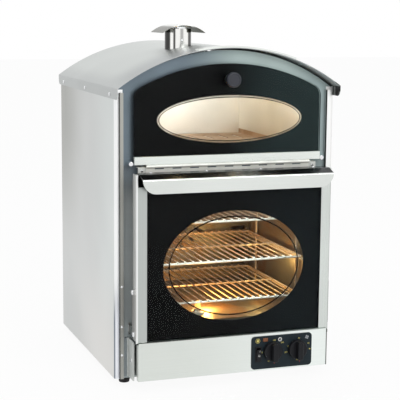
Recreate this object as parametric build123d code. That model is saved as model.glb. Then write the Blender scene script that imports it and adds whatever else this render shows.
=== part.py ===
from build123d import *
from math import cos, pi, radians, sin, sqrt
import os

# Baked potato oven: a counter-top convection oven with a lit display chamber above it.
# All sizes are in millimetres.  While drawing, X = 0 is the middle, Y = 0 is the front of
# the side panels (negative Y is in front of it) and Z = 0 is the underside of the body.
# export_node() moves everything into the part's frame, which stands on its feet.

# ---- driving dimensions ----
BODY_W = 450.0          # over the side panels
BODY_D = 448.0          # side panel front to back panel
EAVES_Z = 561.0         # top of the roof's side lips
ARCH_RISE = 75.0        # roof crown above the eaves
SHEET = 1.2             # stainless sheet
FOOT_H = 13.0

ROOF_FRONT_Y = -28.0
ROOF_BACK_Y = BODY_D + 10.0
ROOF_LIP = 20.6
STRIP_D = 6.0           # depth of the corner strips

FLANGE_IN = 208.4       # inner edge of the side panels' front flanges
FASCIA_Y = 1.2          # front face of the arched fascia

UPPER_W = 380.0         # upper door glass
UPPER_GLASS_Y = -15.6   # its front face
UPPER_GLASS_T = 5.0
UPPER_SIDE_Z = 555.8    # where the arch would meet the straight sides
UPPER_RISE = 50.2
UPPER_SHOULDER_R = 24.0
TRIM_Z = (416.6, 432.0)
HINGE_Y = -17.5
HINGE_Z = 413.4
KNUCKLE_R = 3.2
HINGE_LEN = 334.0
KNUCKLES = 19

DOOR_W = 395.4          # lower door
DOOR_FRONT_Y = -57.0
DOOR_BACK_Y = -32.0
DOOR_Z = (82.0, 403.3)
DOOR_GLASS_W = 354.6
DOOR_PIVOT_Y = -44.0
DOOR_PIVOT_Z = 98.0
DOOR_SWEEP_R = 20.4     # room for the door's bottom edge as it swings
HANDLE_W = 384.0

MOUTH_W = 372.0         # oven mouth frame, outside
MOUTH_Z = (102.0, 396.0)
CAVITY_W = 352.0        # oven cavity, inside
CAVITY_Z = (110.0, 388.0)
CAVITY_BACK_Y = 350.0
RACK_Z = (138.0, 217.0, 297.0)
RACK_PITCH = 16.0
RACK_Y = (8.0, 300.0)

ELEMENT_R = 84.0        # heater ring round the fan, and where its two tails leave it
ELEMENT_TAIL_X = ELEMENT_R * sin(radians(10))
ELEMENT_TAIL_Z = 249.0 + ELEMENT_R * cos(radians(10))

PANEL_W = 390.0         # control panel
PANEL_Y = -61.4
PANEL_Z = (9.0, 80.0)
PANEL_LIP = 3.4         # the front face stands this far above the folded top
PLATE_X = (33.0, 161.0)
PLATE_Z = (12.5, 78.5)
KNOB_D = 38.0
KNOB_Z = 47.5
THERMOSTAT_X = 76.5
TIMER_X = 129.0
KNOB_FACE_Y = PANEL_Y - 1.5 - 22.0
ROCKER_X = 47.5
ROCKER_Z = 43.0

VENT_X, VENT_Y = -55.0, 138.0
VENT_D = 53.0
CAP_W, CAP_D, CAP_RISE, CAP_TOP_Z = 90.0, 78.0, 16.0, 676.3

DISPLAY_W = 340.0       # display chamber, inside
DISPLAY_FLOOR_Z = 430.0
DISPLAY_BACK_Y = 380.0

GLAND_X, GLAND_Z = 150.0, 45.0
CORD_HOLE_D = 8.4

RUN = 0.05              # radial running clearance of pins and shafts
FRONT_MOST = KNOB_FACE_Y
BACK_MOST = BODY_D + 16.0
SHIFT = Pos(0, -(FRONT_MOST + BACK_MOST) / 2, FOOT_H)


# ---- helpers ----
def block(x, y, z):
    """A box from its (low, high) spans."""
    size = Box(x[1] - x[0], y[1] - y[0], z[1] - z[0])
    return Pos((x[0] + x[1]) / 2, (y[0] + y[1]) / 2, (z[0] + z[1]) / 2) * size


def rod_x(radius, x0, x1, y, z):
    return Pos((x0 + x1) / 2, y, z) * Rot(0, 90, 0) * Cylinder(radius, abs(x1 - x0))


def rod_y(radius, x, y0, y1, z):
    return Pos(x, (y0 + y1) / 2, z) * Rot(90, 0, 0) * Cylinder(radius, abs(y1 - y0))


def rod_z(radius, x, y, z0, z1):
    return Pos(x, y, (z0 + z1) / 2) * Cylinder(radius, abs(z1 - z0))


def along_x(profile_yz, x0, x1):
    return extrude(Plane.YZ.offset(x0) * profile_yz, amount=x1 - x0)


def along_y(profile_xz, y0, y1):
    return extrude(Plane.XZ.offset(-y0) * profile_xz, amount=-(y1 - y0))


def bent_sheet(points, radius=2.0, thickness=SHEET):
    """Cross-section of a folded sheet whose middle runs through the points."""
    return trace(FilletPolyline(*points, radius=radius), line_width=thickness)


def arched_face(half, base, eaves, rise, corner=0.0):
    """A face with straight sides, a flat base and a circular arch on top."""
    edges = [Line((-half, base), (-half, eaves)),
             ThreePointArc((-half, eaves), (0, eaves + rise), (half, eaves)),
             Line((half, eaves), (half, base)),
             Line((half, base), (-half, base))]
    face = Sketch() + make_face(edges)
    if corner > 0:
        face = fillet(face.vertices().group_by(Axis.Y)[-1], corner)
    return face


def roof_height(x):
    """Z of the roof's outer surface at x."""
    half = BODY_W / 2 + SHEET + 0.2
    radius = (half ** 2 + ARCH_RISE ** 2) / (2 * ARCH_RISE)
    return EAVES_Z + ARCH_RISE - radius + sqrt(radius ** 2 - x ** 2)


def roof_face(inset, base):
    half = BODY_W / 2 + SHEET + 0.2
    full = arched_face(half, EAVES_Z - 200, EAVES_Z, ARCH_RISE, 3.0)
    return offset(full, amount=-inset) & Pos(0, base + 400) * Rectangle(2 * half + 20, 800)


def door_outline(inset, base):
    """Outline of the upper door, moved in (or out, when negative) by inset."""
    full = arched_face(UPPER_W / 2, 380, UPPER_SIDE_Z, UPPER_RISE, UPPER_SHOULDER_R)
    moved = offset(full, amount=-inset)
    return moved & Pos(0, base + 400) * Rectangle(UPPER_W + 60, 800)


def ring_face(width, height, wall, corner, centre_z):
    outer = RectangleRounded(width, height, corner)
    inner = RectangleRounded(width - 2 * wall, height - 2 * wall, max(corner - wall, 0.5))
    return Pos(0, centre_z) * (outer - inner)


def both_sides(solid):
    return [solid, mirror(solid, about=Plane.YZ)]


def screw_head(direction, radius=3.6, height=1.8):
    """A domed screw head with a cross slot, its seat at the origin, facing the direction."""
    head = fillet(Cylinder(radius, height).edges().group_by(Axis.Z)[-1], 0.9)
    slot = Box(radius * 1.2, 0.9, 1.0) + Box(0.9, radius * 1.2, 1.0)
    body = Pos(0, 0, height / 2) * (head - Pos(0, 0, height / 2) * slot)
    return Plane(origin=(0, 0, 0), z_dir=direction) * body


def export_node(name, *solids):
    parts = [SHIFT * s for s in solids]
    shape = parts[0] if len(parts) == 1 else Compound(children=[s for p in parts for s in p.solids()])
    export_step(shape, f"parts/{name}.step")


# ---- outer shell ----
def side_panel():
    """Left side: sheet with a large front bend, a front flange and a back flange."""
    half = BODY_W / 2
    path = FilletPolyline((-FLANGE_IN, SHEET / 2), (-half + SHEET / 2, SHEET / 2),
                          (-half + SHEET / 2, BODY_D - SHEET * 1.5),
                          (-half + 14, BODY_D - SHEET * 1.5), radius=5.5)
    profile = trace(path, line_width=SHEET)
    return extrude(profile, amount=EAVES_Z - 3)


def base_pan():
    """Tray under the body with cooling slots and turned-up sides."""
    half = BODY_W / 2 - SHEET * 1.5 - 0.3
    path = bent_sheet([(-half, 14), (-half, SHEET / 2), (half, SHEET / 2), (half, 14)], 2.0)
    pan = along_y(path, 4.0, BODY_D - 4.0)
    slot = SlotOverall(60, 6)
    for row in range(4):
        for side in (-1, 1):
            pan -= extrude(Pos(side * 70, 130 + 45 * row, -1) * slot, amount=4)
    for x, y in foot_places():
        pan -= rod_z(3.2, x, y, -2, 4)
    for side in (-1, 1):
        for y0, y1 in ((3.0, 10.0), (BODY_D - 10, BODY_D - 3)):
            pan -= block(sorted((side * 215, side * 226)), (y0, y1), (-1, 15))
    return pan


def foot_places():
    return [(side * 200, y) for y in (22, BODY_D - 22) for side in (-1, 1)]


def rubber_foot(x, y):
    """Tapered bumper foot with a recessed screw, pressed against the pan."""
    foot = Pos(x, y, -FOOT_H / 2) * Cone(10.0, 12.5, FOOT_H)
    foot = fillet(foot.edges().group_by(Axis.Z)[0], 1.5)
    return foot - rod_z(4.5, x, y, -FOOT_H - 1, -FOOT_H + 5)


def back_panel():
    """Back sheet under the roof arch, with a motor grille, louvre slots and a cord hole."""
    face = arched_face(BODY_W / 2 - SHEET - 0.3, 1.5, EAVES_Z - 4, ARCH_RISE - 0.6)
    sheet = along_y(face, BODY_D - SHEET, BODY_D)
    slot = SlotOverall(70, 6)
    for row in range(5):
        for side in (-1, 1):
            place = Pos(side * 90, 470 + 14 * row)
            sheet -= along_y(place * slot, BODY_D - 3, BODY_D + 1)
    for turn in range(12):
        place = Rot(0, 0, turn * 30) * Pos(38, 0)
        sheet -= along_y(Pos(0, 248) * place * SlotOverall(34, 6), BODY_D - 3, BODY_D + 1)
    return sheet - rod_y(8.1, GLAND_X, BODY_D - 3, BODY_D + 1, GLAND_Z)


def roof_sheet():
    """Arched sheet with side lips whose lower front corners are rounded."""
    profile = roof_face(0, EAVES_Z - ROOF_LIP) - roof_face(SHEET, EAVES_Z - ROOF_LIP - 1)
    roof = along_y(profile, ROOF_FRONT_Y, ROOF_BACK_Y)
    corner = 12.0
    for end, inward in ((ROOF_FRONT_Y, 1), (ROOF_BACK_Y, -1)):
        cut_y = sorted((end, end + inward * corner))
        base = EAVES_Z - ROOF_LIP
        tool = block((-240, 240), cut_y, (base - 1, base + corner))
        tool -= rod_x(corner, -241, 241, end + inward * corner, base + corner)
        roof -= tool
    return roof - rod_z(VENT_D / 2 + 0.1, VENT_X, VENT_Y, 560, 700)


def roof_edge_strip():
    """Thin raised strip lying on the roof along its front edge."""
    top = roof_face(-3.2, EAVES_Z) - roof_face(-0.05, EAVES_Z - 1)
    window = Pos(32, EAVES_Z + 50) * Rectangle(198, 140)
    return along_y(top & window, ROOF_FRONT_Y, ROOF_FRONT_Y + 22)


def arch_fascia():
    """Arched front sheet round the display opening, stepped forward over its lower lap."""
    half = BODY_W / 2 - 6.0
    face = arched_face(half, 414, EAVES_Z - 4, ARCH_RISE - 1.5)
    opening = arched_face(168, 436, 520, 42, 20)
    sheet = along_y(face - opening, FASCIA_Y, FASCIA_Y + SHEET)
    return sheet + block((-207.6, 207.6), (0, FASCIA_Y), (414, 428.5))


def lower_fascia():
    """Front sheet behind the lower door: oven mouth, hinge slots and the folded hinge rail."""
    face = Pos(0, 214) * Rectangle(BODY_W - 12, 428)
    mouth = Pos(0, (MOUTH_Z[0] + MOUTH_Z[1]) / 2) * Rectangle(CAVITY_W + 4, 282)
    sheet = along_y(face - mouth, FASCIA_Y + SHEET, FASCIA_Y + 2 * SHEET)
    for side in (-1, 1):
        sheet -= block((side * 194.7 - 2.1, side * 194.7 + 2.1), (0, 6), (86, 110))
    sheet -= block((40, 150), (0, 6), (28, 66))
    front = HINGE_Y + KNUCKLE_R
    rail = bent_sheet([(FASCIA_Y + SHEET, 411.4), (front + SHEET / 2, 411.4),
                       (front + SHEET / 2, 398.6), (FASCIA_Y + SHEET, 398.6)], 1.4)
    return sheet + along_x(rail, -182.5, 182.5)


def corner_strip():
    """Folded channel riveted over the joint of flange and fascia, left side."""
    z = (0.5, EAVES_Z - 9)
    inside = block((-215.4 + SHEET, -FLANGE_IN - SHEET), (SHEET - STRIP_D, 1), (z[0] - 1, z[1] + 1))
    return block((-215.4, -FLANGE_IN), (-STRIP_D, 0), z) - inside


def shell_rivets():
    """Domed rivets: three in each corner strip, three in the vent."""
    dome = Cylinder(2.4, 1.0)
    dome = fillet(dome.edges().group_by(Axis.Z)[-1], 0.8)
    rivets = []
    for z in (48.1, 104.2, 182.8):
        rivets += both_sides(Pos(-211.9, -STRIP_D - 0.5, z) * Rot(90, 0, 0) * dome)
    for side in (-1, 1):
        place = Pos(VENT_X, VENT_Y + side * (VENT_D / 2 + 0.5), 646)
        rivets.append(place * Rot(-side * 90, 0, 0) * dome)
    rivets.append(Pos(VENT_X, VENT_Y, CAP_TOP_Z + 0.5) * dome)
    return rivets


def hinge_stud():
    """Domed stud beside the upper door's hinge, left side."""
    head = Pos(-195.6, -12, 419) * screw_head((0, -1, 0), 4.5, 2.6)
    return head + rod_y(3.0, -195.6, -12, 0, 419)


def shell_screws():
    """Cross-head screws of the roof lips, the side brackets and the back panel."""
    screws = []
    left = screw_head((-1, 0, 0))
    for y in (25.5, 216.8, 408.3):
        screws += both_sides(Pos(-BODY_W / 2 - SHEET - 0.2, y, 548) * left)
    screws += both_sides(Pos(-198.3, -24, 42) * left)
    screws += both_sides(hinge_stud())
    screws += both_sides(Pos(-175, HINGE_Y + KNUCKLE_R, 405) * screw_head((0, -1, 0), 2.6, 1.4))
    back = screw_head((0, 1, 0))
    for x, z in ((210, 20), (210, 280), (210, 540), (70, 618)):
        screws += both_sides(Pos(-x, BODY_D, z) * back)
    return screws


# ---- vent ----
def vent_tube():
    """Polished flue through the roof, its rim cut below the arched cap."""
    bottom = 588.0
    tube = rod_z(VENT_D / 2, VENT_X, VENT_Y, bottom, 668.5)
    tube -= rod_z(VENT_D / 2 - SHEET, VENT_X, VENT_Y, bottom - 1, 670)
    for side in (-1, 1):
        tube -= rod_y(1.5, VENT_X, VENT_Y + side * 24, VENT_Y + side * 28, 646)
    return tube


def vent_cap():
    """Rain cap: a rectangle of sheet curved over the flue, open front and back."""
    radius = ((CAP_W / 2) ** 2 + CAP_RISE ** 2) / (2 * CAP_RISE)
    centre = CAP_TOP_Z - radius
    ring = Pos(VENT_X, centre) * (Circle(radius) - Circle(radius - SHEET))
    band = Pos(VENT_X, CAP_TOP_Z - CAP_RISE / 2 + 1) * Rectangle(CAP_W, CAP_RISE + 2)
    return along_y(ring & band, VENT_Y - CAP_D / 2, VENT_Y + CAP_D / 2)


def cap_strap():
    """Bent strap inside the flue that carries the cap."""
    leg = VENT_D / 2 - SHEET - 1.7
    top = CAP_TOP_Z - SHEET - 1.2
    path = bent_sheet([(VENT_Y - leg, 632), (VENT_Y - leg, top), (VENT_Y + leg, top),
                       (VENT_Y + leg, 632)], 4.0, 1.5)
    return along_x(path, VENT_X - 6, VENT_X + 6)


# ---- display chamber ----
def display_liner():
    """Arched tunnel with a closed back behind the upper door."""
    half = DISPLAY_W / 2
    outer = arched_face(half + SHEET, DISPLAY_FLOOR_Z - SHEET, 530, 56, 20)
    inner = arched_face(half, DISPLAY_FLOOR_Z, 530, 54.8, 19)
    front = FASCIA_Y + 3 * SHEET
    tunnel = along_y(outer, front, DISPLAY_BACK_Y) - along_y(inner, front - 1, DISPLAY_BACK_Y - SHEET)
    return tunnel - rod_z(VENT_D / 2 - SHEET, VENT_X, VENT_Y, 540, 640)


def display_floor():
    """Lift-out floor tray of the display with rows of warm-air slots."""
    half = DISPLAY_W / 2 - 1.5
    z = DISPLAY_FLOOR_Z + SHEET / 2 + 0.2
    path = bent_sheet([(-half, z + 10), (-half, z), (half, z), (half, z + 10)], 2.0)
    tray = along_y(path, 8, DISPLAY_BACK_Y - 6)
    for column in range(-4, 5):
        for row in range(3):
            place = Pos(column * 34, 80 + 110 * row, z - 2)
            tray -= extrude(place * Rot(0, 0, 90) * SlotOverall(70, 7), amount=4)
    return tray


def lamp_sites():
    """Lamp places: two under the display's roof and one on the oven's floor."""
    return [(-60, 60, 574, -1), (60, 60, 574, -1), (-48, 26, CAVITY_Z[0], 1)]


def lampholder(x, y, z, up):
    """Round ceramic holder with a collar; up is the way the lamp points."""
    holder = Cylinder(13, 6) + Pos(0, 0, 5) * Cylinder(8, 6)
    return Pos(x, y, z + up * 3) * Rot(0 if up > 0 else 180, 0, 0) * holder


def lamp_bulb(x, y, z, up):
    """Capsule bulb standing in its holder."""
    capsule = Pos(0, 0, 8) * Cylinder(5.5, 16)
    capsule = fillet(capsule.edges().group_by(Axis.Z)[-1], 5.2)
    return Pos(x, y, z + up * 11) * Rot(0 if up > 0 else 180, 0, 0) * capsule


def display_seal():
    """Rubber profile between the fascia and the glass, open along the hinge."""
    ring = door_outline(3.0, 434) - door_outline(9.0, 400)
    return along_y(ring, UPPER_GLASS_Y + UPPER_GLASS_T + 0.3, FASCIA_Y)


def catch_magnet():
    """Round holding magnet on the fascia behind the knob's screw."""
    back = UPPER_GLASS_Y + UPPER_GLASS_T + 2.2
    magnet = rod_y(9, 0, back, FASCIA_Y, 575.5)
    return magnet - rod_y(2, 0, back - 1, back + 2, 575.5)


# ---- upper door ----
def upper_glass():
    """Toughened glass with rounded shoulders, drilled for the knob."""
    pane = along_y(door_outline(0, 418.2), UPPER_GLASS_Y, UPPER_GLASS_Y + UPPER_GLASS_T)
    return pane - rod_y(3.2, 0, UPPER_GLASS_Y - 1, UPPER_GLASS_Y + 6, 575.5)


def upper_trim():
    """Folded channel that grips the lower edge of the glass."""
    front = UPPER_GLASS_Y - SHEET
    back = UPPER_GLASS_Y + UPPER_GLASS_T + SHEET
    channel = block((-190.2, 190.2), (front, back), TRIM_Z)
    pocket = (UPPER_GLASS_Y - 0.05, UPPER_GLASS_Y + UPPER_GLASS_T + 0.05)
    channel -= block((-191, 191), pocket, (TRIM_Z[0] + SHEET, TRIM_Z[1] + 1))
    return fillet(channel.edges().filter_by(Axis.X).sort_by(Axis.Z)[0:2], 0.8)


def upper_knob():
    """Turned pull knob: waist, dished face and rounded rim."""
    face = UPPER_GLASS_Y - 24.0
    outline = make_face([
        Line((0, 0), (9, 0)), Line((9, 0), (9, 2)),
        ThreePointArc((9, 2), (7.6, 7), (10.5, 12)), Line((10.5, 12), (14.5, 16)),
        Line((14.5, 16), (14.5, 21)), ThreePointArc((14.5, 21), (13.6, 23.1), (11.5, 24)),
        Line((11.5, 24), (10.3, 23)), Line((10.3, 23), (0, 23)), Line((0, 23), (0, 0))])
    knob = revolve(Plane.XZ * outline, Axis.Z)
    knob = Pos(0, UPPER_GLASS_Y, 575.5) * Rot(90, 0, 0) * knob
    return knob - rod_y(2.0, 0, UPPER_GLASS_Y - 12, UPPER_GLASS_Y + 1, 575.5)


def knob_screw():
    """Flanged screw through the glass; its steel flange meets the catch magnet."""
    back = UPPER_GLASS_Y + UPPER_GLASS_T
    return rod_y(9, 0, back, back + 1.6, 575.5) + rod_y(2.0, 0, UPPER_GLASS_Y - 11, back, 575.5)


def knuckle_spans(first):
    """X spans of every second knuckle, starting with knuckle number first."""
    step = HINGE_LEN / KNUCKLES
    start = -HINGE_LEN / 2
    return [(start + i * step + 0.15, start + (i + 1) * step - 0.15) for i in range(first, KNUCKLES, 2)]


def hinge_leaf(first, upright):
    """Piano-hinge leaf: a plate with its own knuckles rolled round the pin."""
    half = HINGE_LEN / 2
    reach = KNUCKLE_R + 2.6
    back = HINGE_Y + KNUCKLE_R
    if upright:
        leaf = block((-half, half), (back - SHEET, back), (400.2, HINGE_Z - reach))
    else:
        leaf = block((-half, half), (HINGE_Y + reach, -9.2), (HINGE_Z + KNUCKLE_R - SHEET, HINGE_Z + KNUCKLE_R))
    for x0, x1 in knuckle_spans(first):
        tube = rod_x(KNUCKLE_R, x0, x1, HINGE_Y, HINGE_Z)
        if upright:
            web = block((x0, x1), (back - SHEET, back), (HINGE_Z - reach - 1, HINGE_Z))
        else:
            web = block((x0, x1), (HINGE_Y, HINGE_Y + reach + 1), (HINGE_Z + KNUCKLE_R - SHEET, HINGE_Z + KNUCKLE_R))
        leaf += tube + web
    return leaf - rod_x(1.5 + RUN, -half - 1, half + 1, HINGE_Y, HINGE_Z)


# ---- lower door ----
def door_frame():
    """Front frame: folded tray with a window opening and rounded front edges."""
    centre_z = sum(DOOR_Z) / 2
    height = DOOR_Z[1] - DOOR_Z[0]
    depth = DOOR_BACK_Y - DOOR_FRONT_Y
    outer = Pos(0, (DOOR_FRONT_Y + DOOR_BACK_Y) / 2, centre_z) * Box(DOOR_W, depth, height)
    outer = fillet(outer.edges().group_by(Axis.Y)[0], 2.5)
    inner = Pos(0, (DOOR_FRONT_Y + SHEET + DOOR_BACK_Y + 1) / 2, centre_z) * Box(
        DOOR_W - 2 * SHEET, depth - SHEET + 1, height - 2 * SHEET)
    inner = fillet(inner.edges().group_by(Axis.Y)[0].filter_by(Axis.Z), 1.3)
    frame = outer - inner
    frame -= block((-DOOR_GLASS_W / 2, DOOR_GLASS_W / 2), (-60, -54), (84.3, 388))
    frame -= block((-300, 300), (-51.3, DOOR_BACK_Y + 1), (80, 86))
    for side in (-1, 1):
        frame -= rod_x(3.0, side * 190, side * 200, DOOR_PIVOT_Y, DOOR_PIVOT_Z)
    return frame


def door_outer_glass():
    """Outer pane behind the frame."""
    return block((-190, 190), (DOOR_FRONT_Y + SHEET, DOOR_FRONT_Y + SHEET + 4), (83.3, 401))


def door_inner_tray():
    """Insulated inner frame that closes against the mouth's seal."""
    centre_z, height = 249.0, 300.0
    outer = Pos(0, (-51.6 - 33.2) / 2, centre_z) * Box(372, 18.4, height)
    outer = fillet(outer.edges().filter_by(Axis.Y), 6)
    outer = fillet(outer.edges().group_by(Axis.Y)[-1], 2.0)
    hollow = Pos(0, (-52.6 - 34.2) / 2, centre_z) * Box(370, 18.4, height - 2)
    hollow = fillet(hollow.edges().filter_by(Axis.Y), 5)
    tray = outer - hollow
    opening = Pos(0, centre_z - 5) * RectangleRounded(322, 262, 12)
    return tray - along_y(opening, -36, -32)


def door_inner_glass():
    return block((-168, 168), (-37.4, -34.4), (110, 384))


def door_handle():
    """Full-width canopy handle: sloping top and a finger flap with rounded corners."""
    path = bent_sheet([(-36.0, DOOR_Z[1] + 0.8), (-58.2, DOOR_Z[1] + 0.8), (-80.0, 396.6),
                       (-78.6, 370)], 2.5, 1.5)
    handle = along_x(path, -HANDLE_W / 2, HANDLE_W / 2)
    corner = 27.0
    for side in (-1, 1):
        edge = side * HANDLE_W / 2
        xs = sorted((edge + side, edge - side * corner))
        tool = block(xs, (-84, -68), (368, 370 + corner))
        tool -= rod_y(corner, edge - side * corner, -85, -67, 370 + corner)
        handle -= tool
    return handle


def hinge_plate():
    """Plate on the door's left side that carries the pivot pin, rounded at both ends."""
    middle_y = -42.6
    length = 98.0
    profile = Pos(middle_y, DOOR_PIVOT_Z + length / 2 - 10.5) * SlotOverall(length, 21, rotation=90)
    x0 = -DOOR_W / 2 - 1.5
    plate = along_x(profile, x0, -DOOR_W / 2)
    return plate - rod_x(3.0, x0 - 1, -190, DOOR_PIVOT_Y, DOOR_PIVOT_Z)


def door_pins():
    """Pivot pins with domed heads, and the rivet at the top of each hinge plate."""
    face = -DOOR_W / 2 - 1.5
    pin = rod_x(3.0, face, -192.8, DOOR_PIVOT_Y, DOOR_PIVOT_Z)
    head = Cylinder(5.0, 3.2)
    head = fillet(head.edges().group_by(Axis.Z)[-1], 2.4)
    pin += Pos(face - 1.6, DOOR_PIVOT_Y, DOOR_PIVOT_Z) * Rot(0, -90, 0) * head
    rivet = Pos(face - 1.6, -37, 178) * Rot(0, -90, 0) * head
    return both_sides(pin) + both_sides(rivet)


def handle_screws():
    """Four screws through the handle's flange."""
    head = screw_head((0, 0, 1), 3.2, 1.6)
    return [Pos(x, -41, DOOR_Z[1] + 1.55) * head for x in (-165, -55, 55, 165)]


def hinge_arm():
    """Left hinge arm: foot behind the fascia, blade through its slot, eye round the pin."""
    eye = DOOR_PIVOT_Y
    blade = Pos((eye + 6) / 2, DOOR_PIVOT_Z) * Rectangle(6 - eye, 14) + Pos(eye, DOOR_PIVOT_Z) * Circle(7.5)
    arm = along_x(blade, -195.7, -193.7)
    foot_y = FASCIA_Y + 2 * SHEET
    arm += block((-206, -193.7), (foot_y, foot_y + 2), (84, 112))
    return arm - rod_x(3.0 + RUN, -198, -192, DOOR_PIVOT_Y, DOOR_PIVOT_Z)


# ---- oven cavity ----
def mouth_frame():
    """Channel-section collar round the oven mouth, open to the back."""
    width, height = MOUTH_W, MOUTH_Z[1] - MOUTH_Z[0]
    centre = sum(MOUTH_Z) / 2
    ring = along_y(ring_face(width, height, 10.0, 6, centre), -28, FASCIA_Y + SHEET)
    hollow = along_y(ring_face(width - 2.4, height - 2.4, 7.6, 5, centre), -26.8, 5)
    return ring - hollow


def oven_seal():
    """Rope seal on the collar's front face."""
    height = MOUTH_Z[1] - MOUTH_Z[0]
    ring = ring_face(MOUTH_W - 5, height - 5, 5.0, 8, sum(MOUTH_Z) / 2)
    seal = along_y(ring, -32.6, -28)
    return fillet(seal.edges().group_by(Axis.Y)[0], 1.8)


def oven_liner():
    """Five-sided cavity box behind the mouth, with a hole for the fan shaft."""
    x, z = CAVITY_W / 2, CAVITY_Z
    front = FASCIA_Y + 2 * SHEET
    outer = block((-x - SHEET, x + SHEET), (front, CAVITY_BACK_Y + SHEET), (z[0] - SHEET, z[1] + SHEET))
    inner = block((-x, x), (front - 1, CAVITY_BACK_Y), z)
    liner = outer - inner - rod_y(6, 0, CAVITY_BACK_Y - 1, CAVITY_BACK_Y + 3, 249)
    for side in (-1, 1):
        liner -= rod_y(5.8, side * ELEMENT_TAIL_X, CAVITY_BACK_Y - 1, CAVITY_BACK_Y + 3, ELEMENT_TAIL_Z)
    return liner


def rack(z):
    """Welded wire shelf: thick front wire, side and back wires, thin wires running back."""
    half = 166.0
    y0, y1 = RACK_Y
    loop = Plane.XY * RectangleRounded(2 * half, y1 - y0, 9).wire()
    section = Plane(origin=loop @ 0, z_dir=loop % 0) * Circle(2.2)
    frame = Pos(0, (y0 + y1) / 2, z) * sweep(section, path=loop)
    thin = [rod_y(1.3, i * RACK_PITCH, y0 - 1.5, y1 + 1.5, z + 2.6) for i in range(-9, 10)]
    return frame.fuse(*thin, rod_x(1.9, -half, half, (y0 + y1) / 2, z))


def rack_ladder():
    """Left side ladder: two uprights and a runner under each shelf."""
    x = -171.0
    posts = [rod_z(2.5, x, y, CAVITY_Z[0] + 1, 330) for y in (45, 265)]
    runners = [rod_y(2.3, x + 4.0, RACK_Y[0], RACK_Y[1], z - 4.5) for z in RACK_Z]
    return posts[0].fuse(posts[1], *runners)


def fan_baffle():
    """Plate in front of the fan: a ring of inlet slots and two outlet columns."""
    plate = block((-174, 174), (316, 317.2), (CAVITY_Z[0] + 2, CAVITY_Z[1] - 2))
    for ring, count, size in ((30, 8, 26), (58, 14, 22)):
        for turn in range(count):
            place = Pos(0, 249) * Rot(0, 0, turn * 360 / count) * Pos(ring, 0)
            plate -= along_y(place * SlotOverall(size, 6), 314, 319)
    for row in range(9):
        for side in (-1, 1):
            place = Pos(side * 148, 145 + 26 * row)
            plate -= along_y(place * SlotOverall(36, 9), 314, 319)
    return plate


def fan_wheel():
    """Radial fan: back disc, hub and curved blades."""
    wheel = rod_y(62, 0, 339, 340, 249) + rod_y(9, 0, 324, 340, 249)
    curve = ThreePointArc((8, 0), (34, 9), (60, 2))
    blade = along_y(trace(curve, line_width=1.2), 325, 339.5)
    for turn in range(8):
        wheel += Pos(0, 0, 249) * Rot(0, turn * 45, 0) * blade
    return wheel + rod_y(3.5, 0, 339, 362, 249)


def fan_motor():
    """Motor behind the cavity with its mounting legs; the shaft runs in its nose."""
    motor = rod_y(38, 0, 366, 420, 249) + rod_y(12, 0, 358, 366, 249)
    motor = fillet(motor.edges().group_by(Axis.Y)[-1], 4)
    for side in (-1, 1):
        motor += block(sorted((side * 30, side * 56)), (368, 371), (243, 255))
        motor += block(sorted((side * 53, side * 56)), (CAVITY_BACK_Y + SHEET, 371), (243, 255))
    return motor - rod_y(3.5 + RUN, 0, 350, 362.5, 249)


def ring_element():
    """Tubular heater bent round the fan, its tails through the cavity's back."""
    bend = Plane.XZ.offset(-332) * Pos(0, 249) * CenterArc((0, 0), ELEMENT_R, 100, 340)
    section = Plane(origin=bend @ 0, z_dir=bend % 0) * Circle(4)
    ring = sweep(section, path=bend)
    sleeves = [rod_y(5.5, side * ELEMENT_TAIL_X, 325, 374, ELEMENT_TAIL_Z) for side in (-1, 1)]
    return ring.fuse(*sleeves)


def insulation_blanket():
    """Mineral-wool wrap round the cavity, four sides."""
    centre = sum(CAVITY_Z) / 2
    outer = Pos(0, centre) * Rectangle(CAVITY_W + 50, CAVITY_Z[1] - CAVITY_Z[0] + 50)
    inner = Pos(0, centre) * Rectangle(CAVITY_W + 3, CAVITY_Z[1] - CAVITY_Z[0] + 3)
    return along_y(outer - inner, 9, CAVITY_BACK_Y)


# ---- controls ----
def control_panel():
    """Folded front panel with shaft holes and the rocker cut-out."""
    half = PANEL_W / 2
    depth = 13.0
    centre_z = sum(PANEL_Z) / 2
    outer = Pos(0, PANEL_Y + depth / 2, centre_z) * Box(PANEL_W, depth, PANEL_Z[1] - PANEL_Z[0])
    outer = fillet(outer.edges().group_by(Axis.Y)[0], 2.0)
    inner = Pos(0, PANEL_Y + SHEET + depth / 2, centre_z) * Box(
        PANEL_W - 2 * SHEET, depth, PANEL_Z[1] - PANEL_Z[0] - 2 * SHEET)
    panel = outer - inner
    panel -= block((-half - 1, half + 1), (PANEL_Y + 9, PANEL_Y + 14), (PANEL_Z[1] - 3, PANEL_Z[1] + 1))
    lip = block((-half, half), (PANEL_Y, PANEL_Y + SHEET), (PANEL_Z[1] - 4, PANEL_Z[1] + PANEL_LIP))
    panel += fillet(lip.edges().filter_by(Axis.Y).group_by(Axis.Z)[-1], 2.0)
    return panel - control_holes(PANEL_Y - 1, PANEL_Y + 3)


def control_holes(y0, y1):
    """Cutters for the two shafts, the rocker's body and the pilot lamp."""
    holes = rod_y(4.0, THERMOSTAT_X, y0, y1, KNOB_Z) + rod_y(4.0, TIMER_X, y0, y1, KNOB_Z)
    holes += block((ROCKER_X - 5.2, ROCKER_X + 5.2), (y0, y1), (ROCKER_Z - 14.2, ROCKER_Z + 14.2))
    return holes + rod_y(4.0, 62, y0, y1, 71)


def control_plate():
    """Black dial plate on the panel."""
    face = Pos(sum(PLATE_X) / 2, sum(PLATE_Z) / 2) * RectangleRounded(
        PLATE_X[1] - PLATE_X[0], PLATE_Z[1] - PLATE_Z[0], 7.5)
    plate = along_y(face, PANEL_Y - 1.5, PANEL_Y)
    plate = fillet(plate.edges().group_by(Axis.Y)[0], 0.5)
    return plate - control_holes(PANEL_Y - 3, PANEL_Y + 3)


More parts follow.
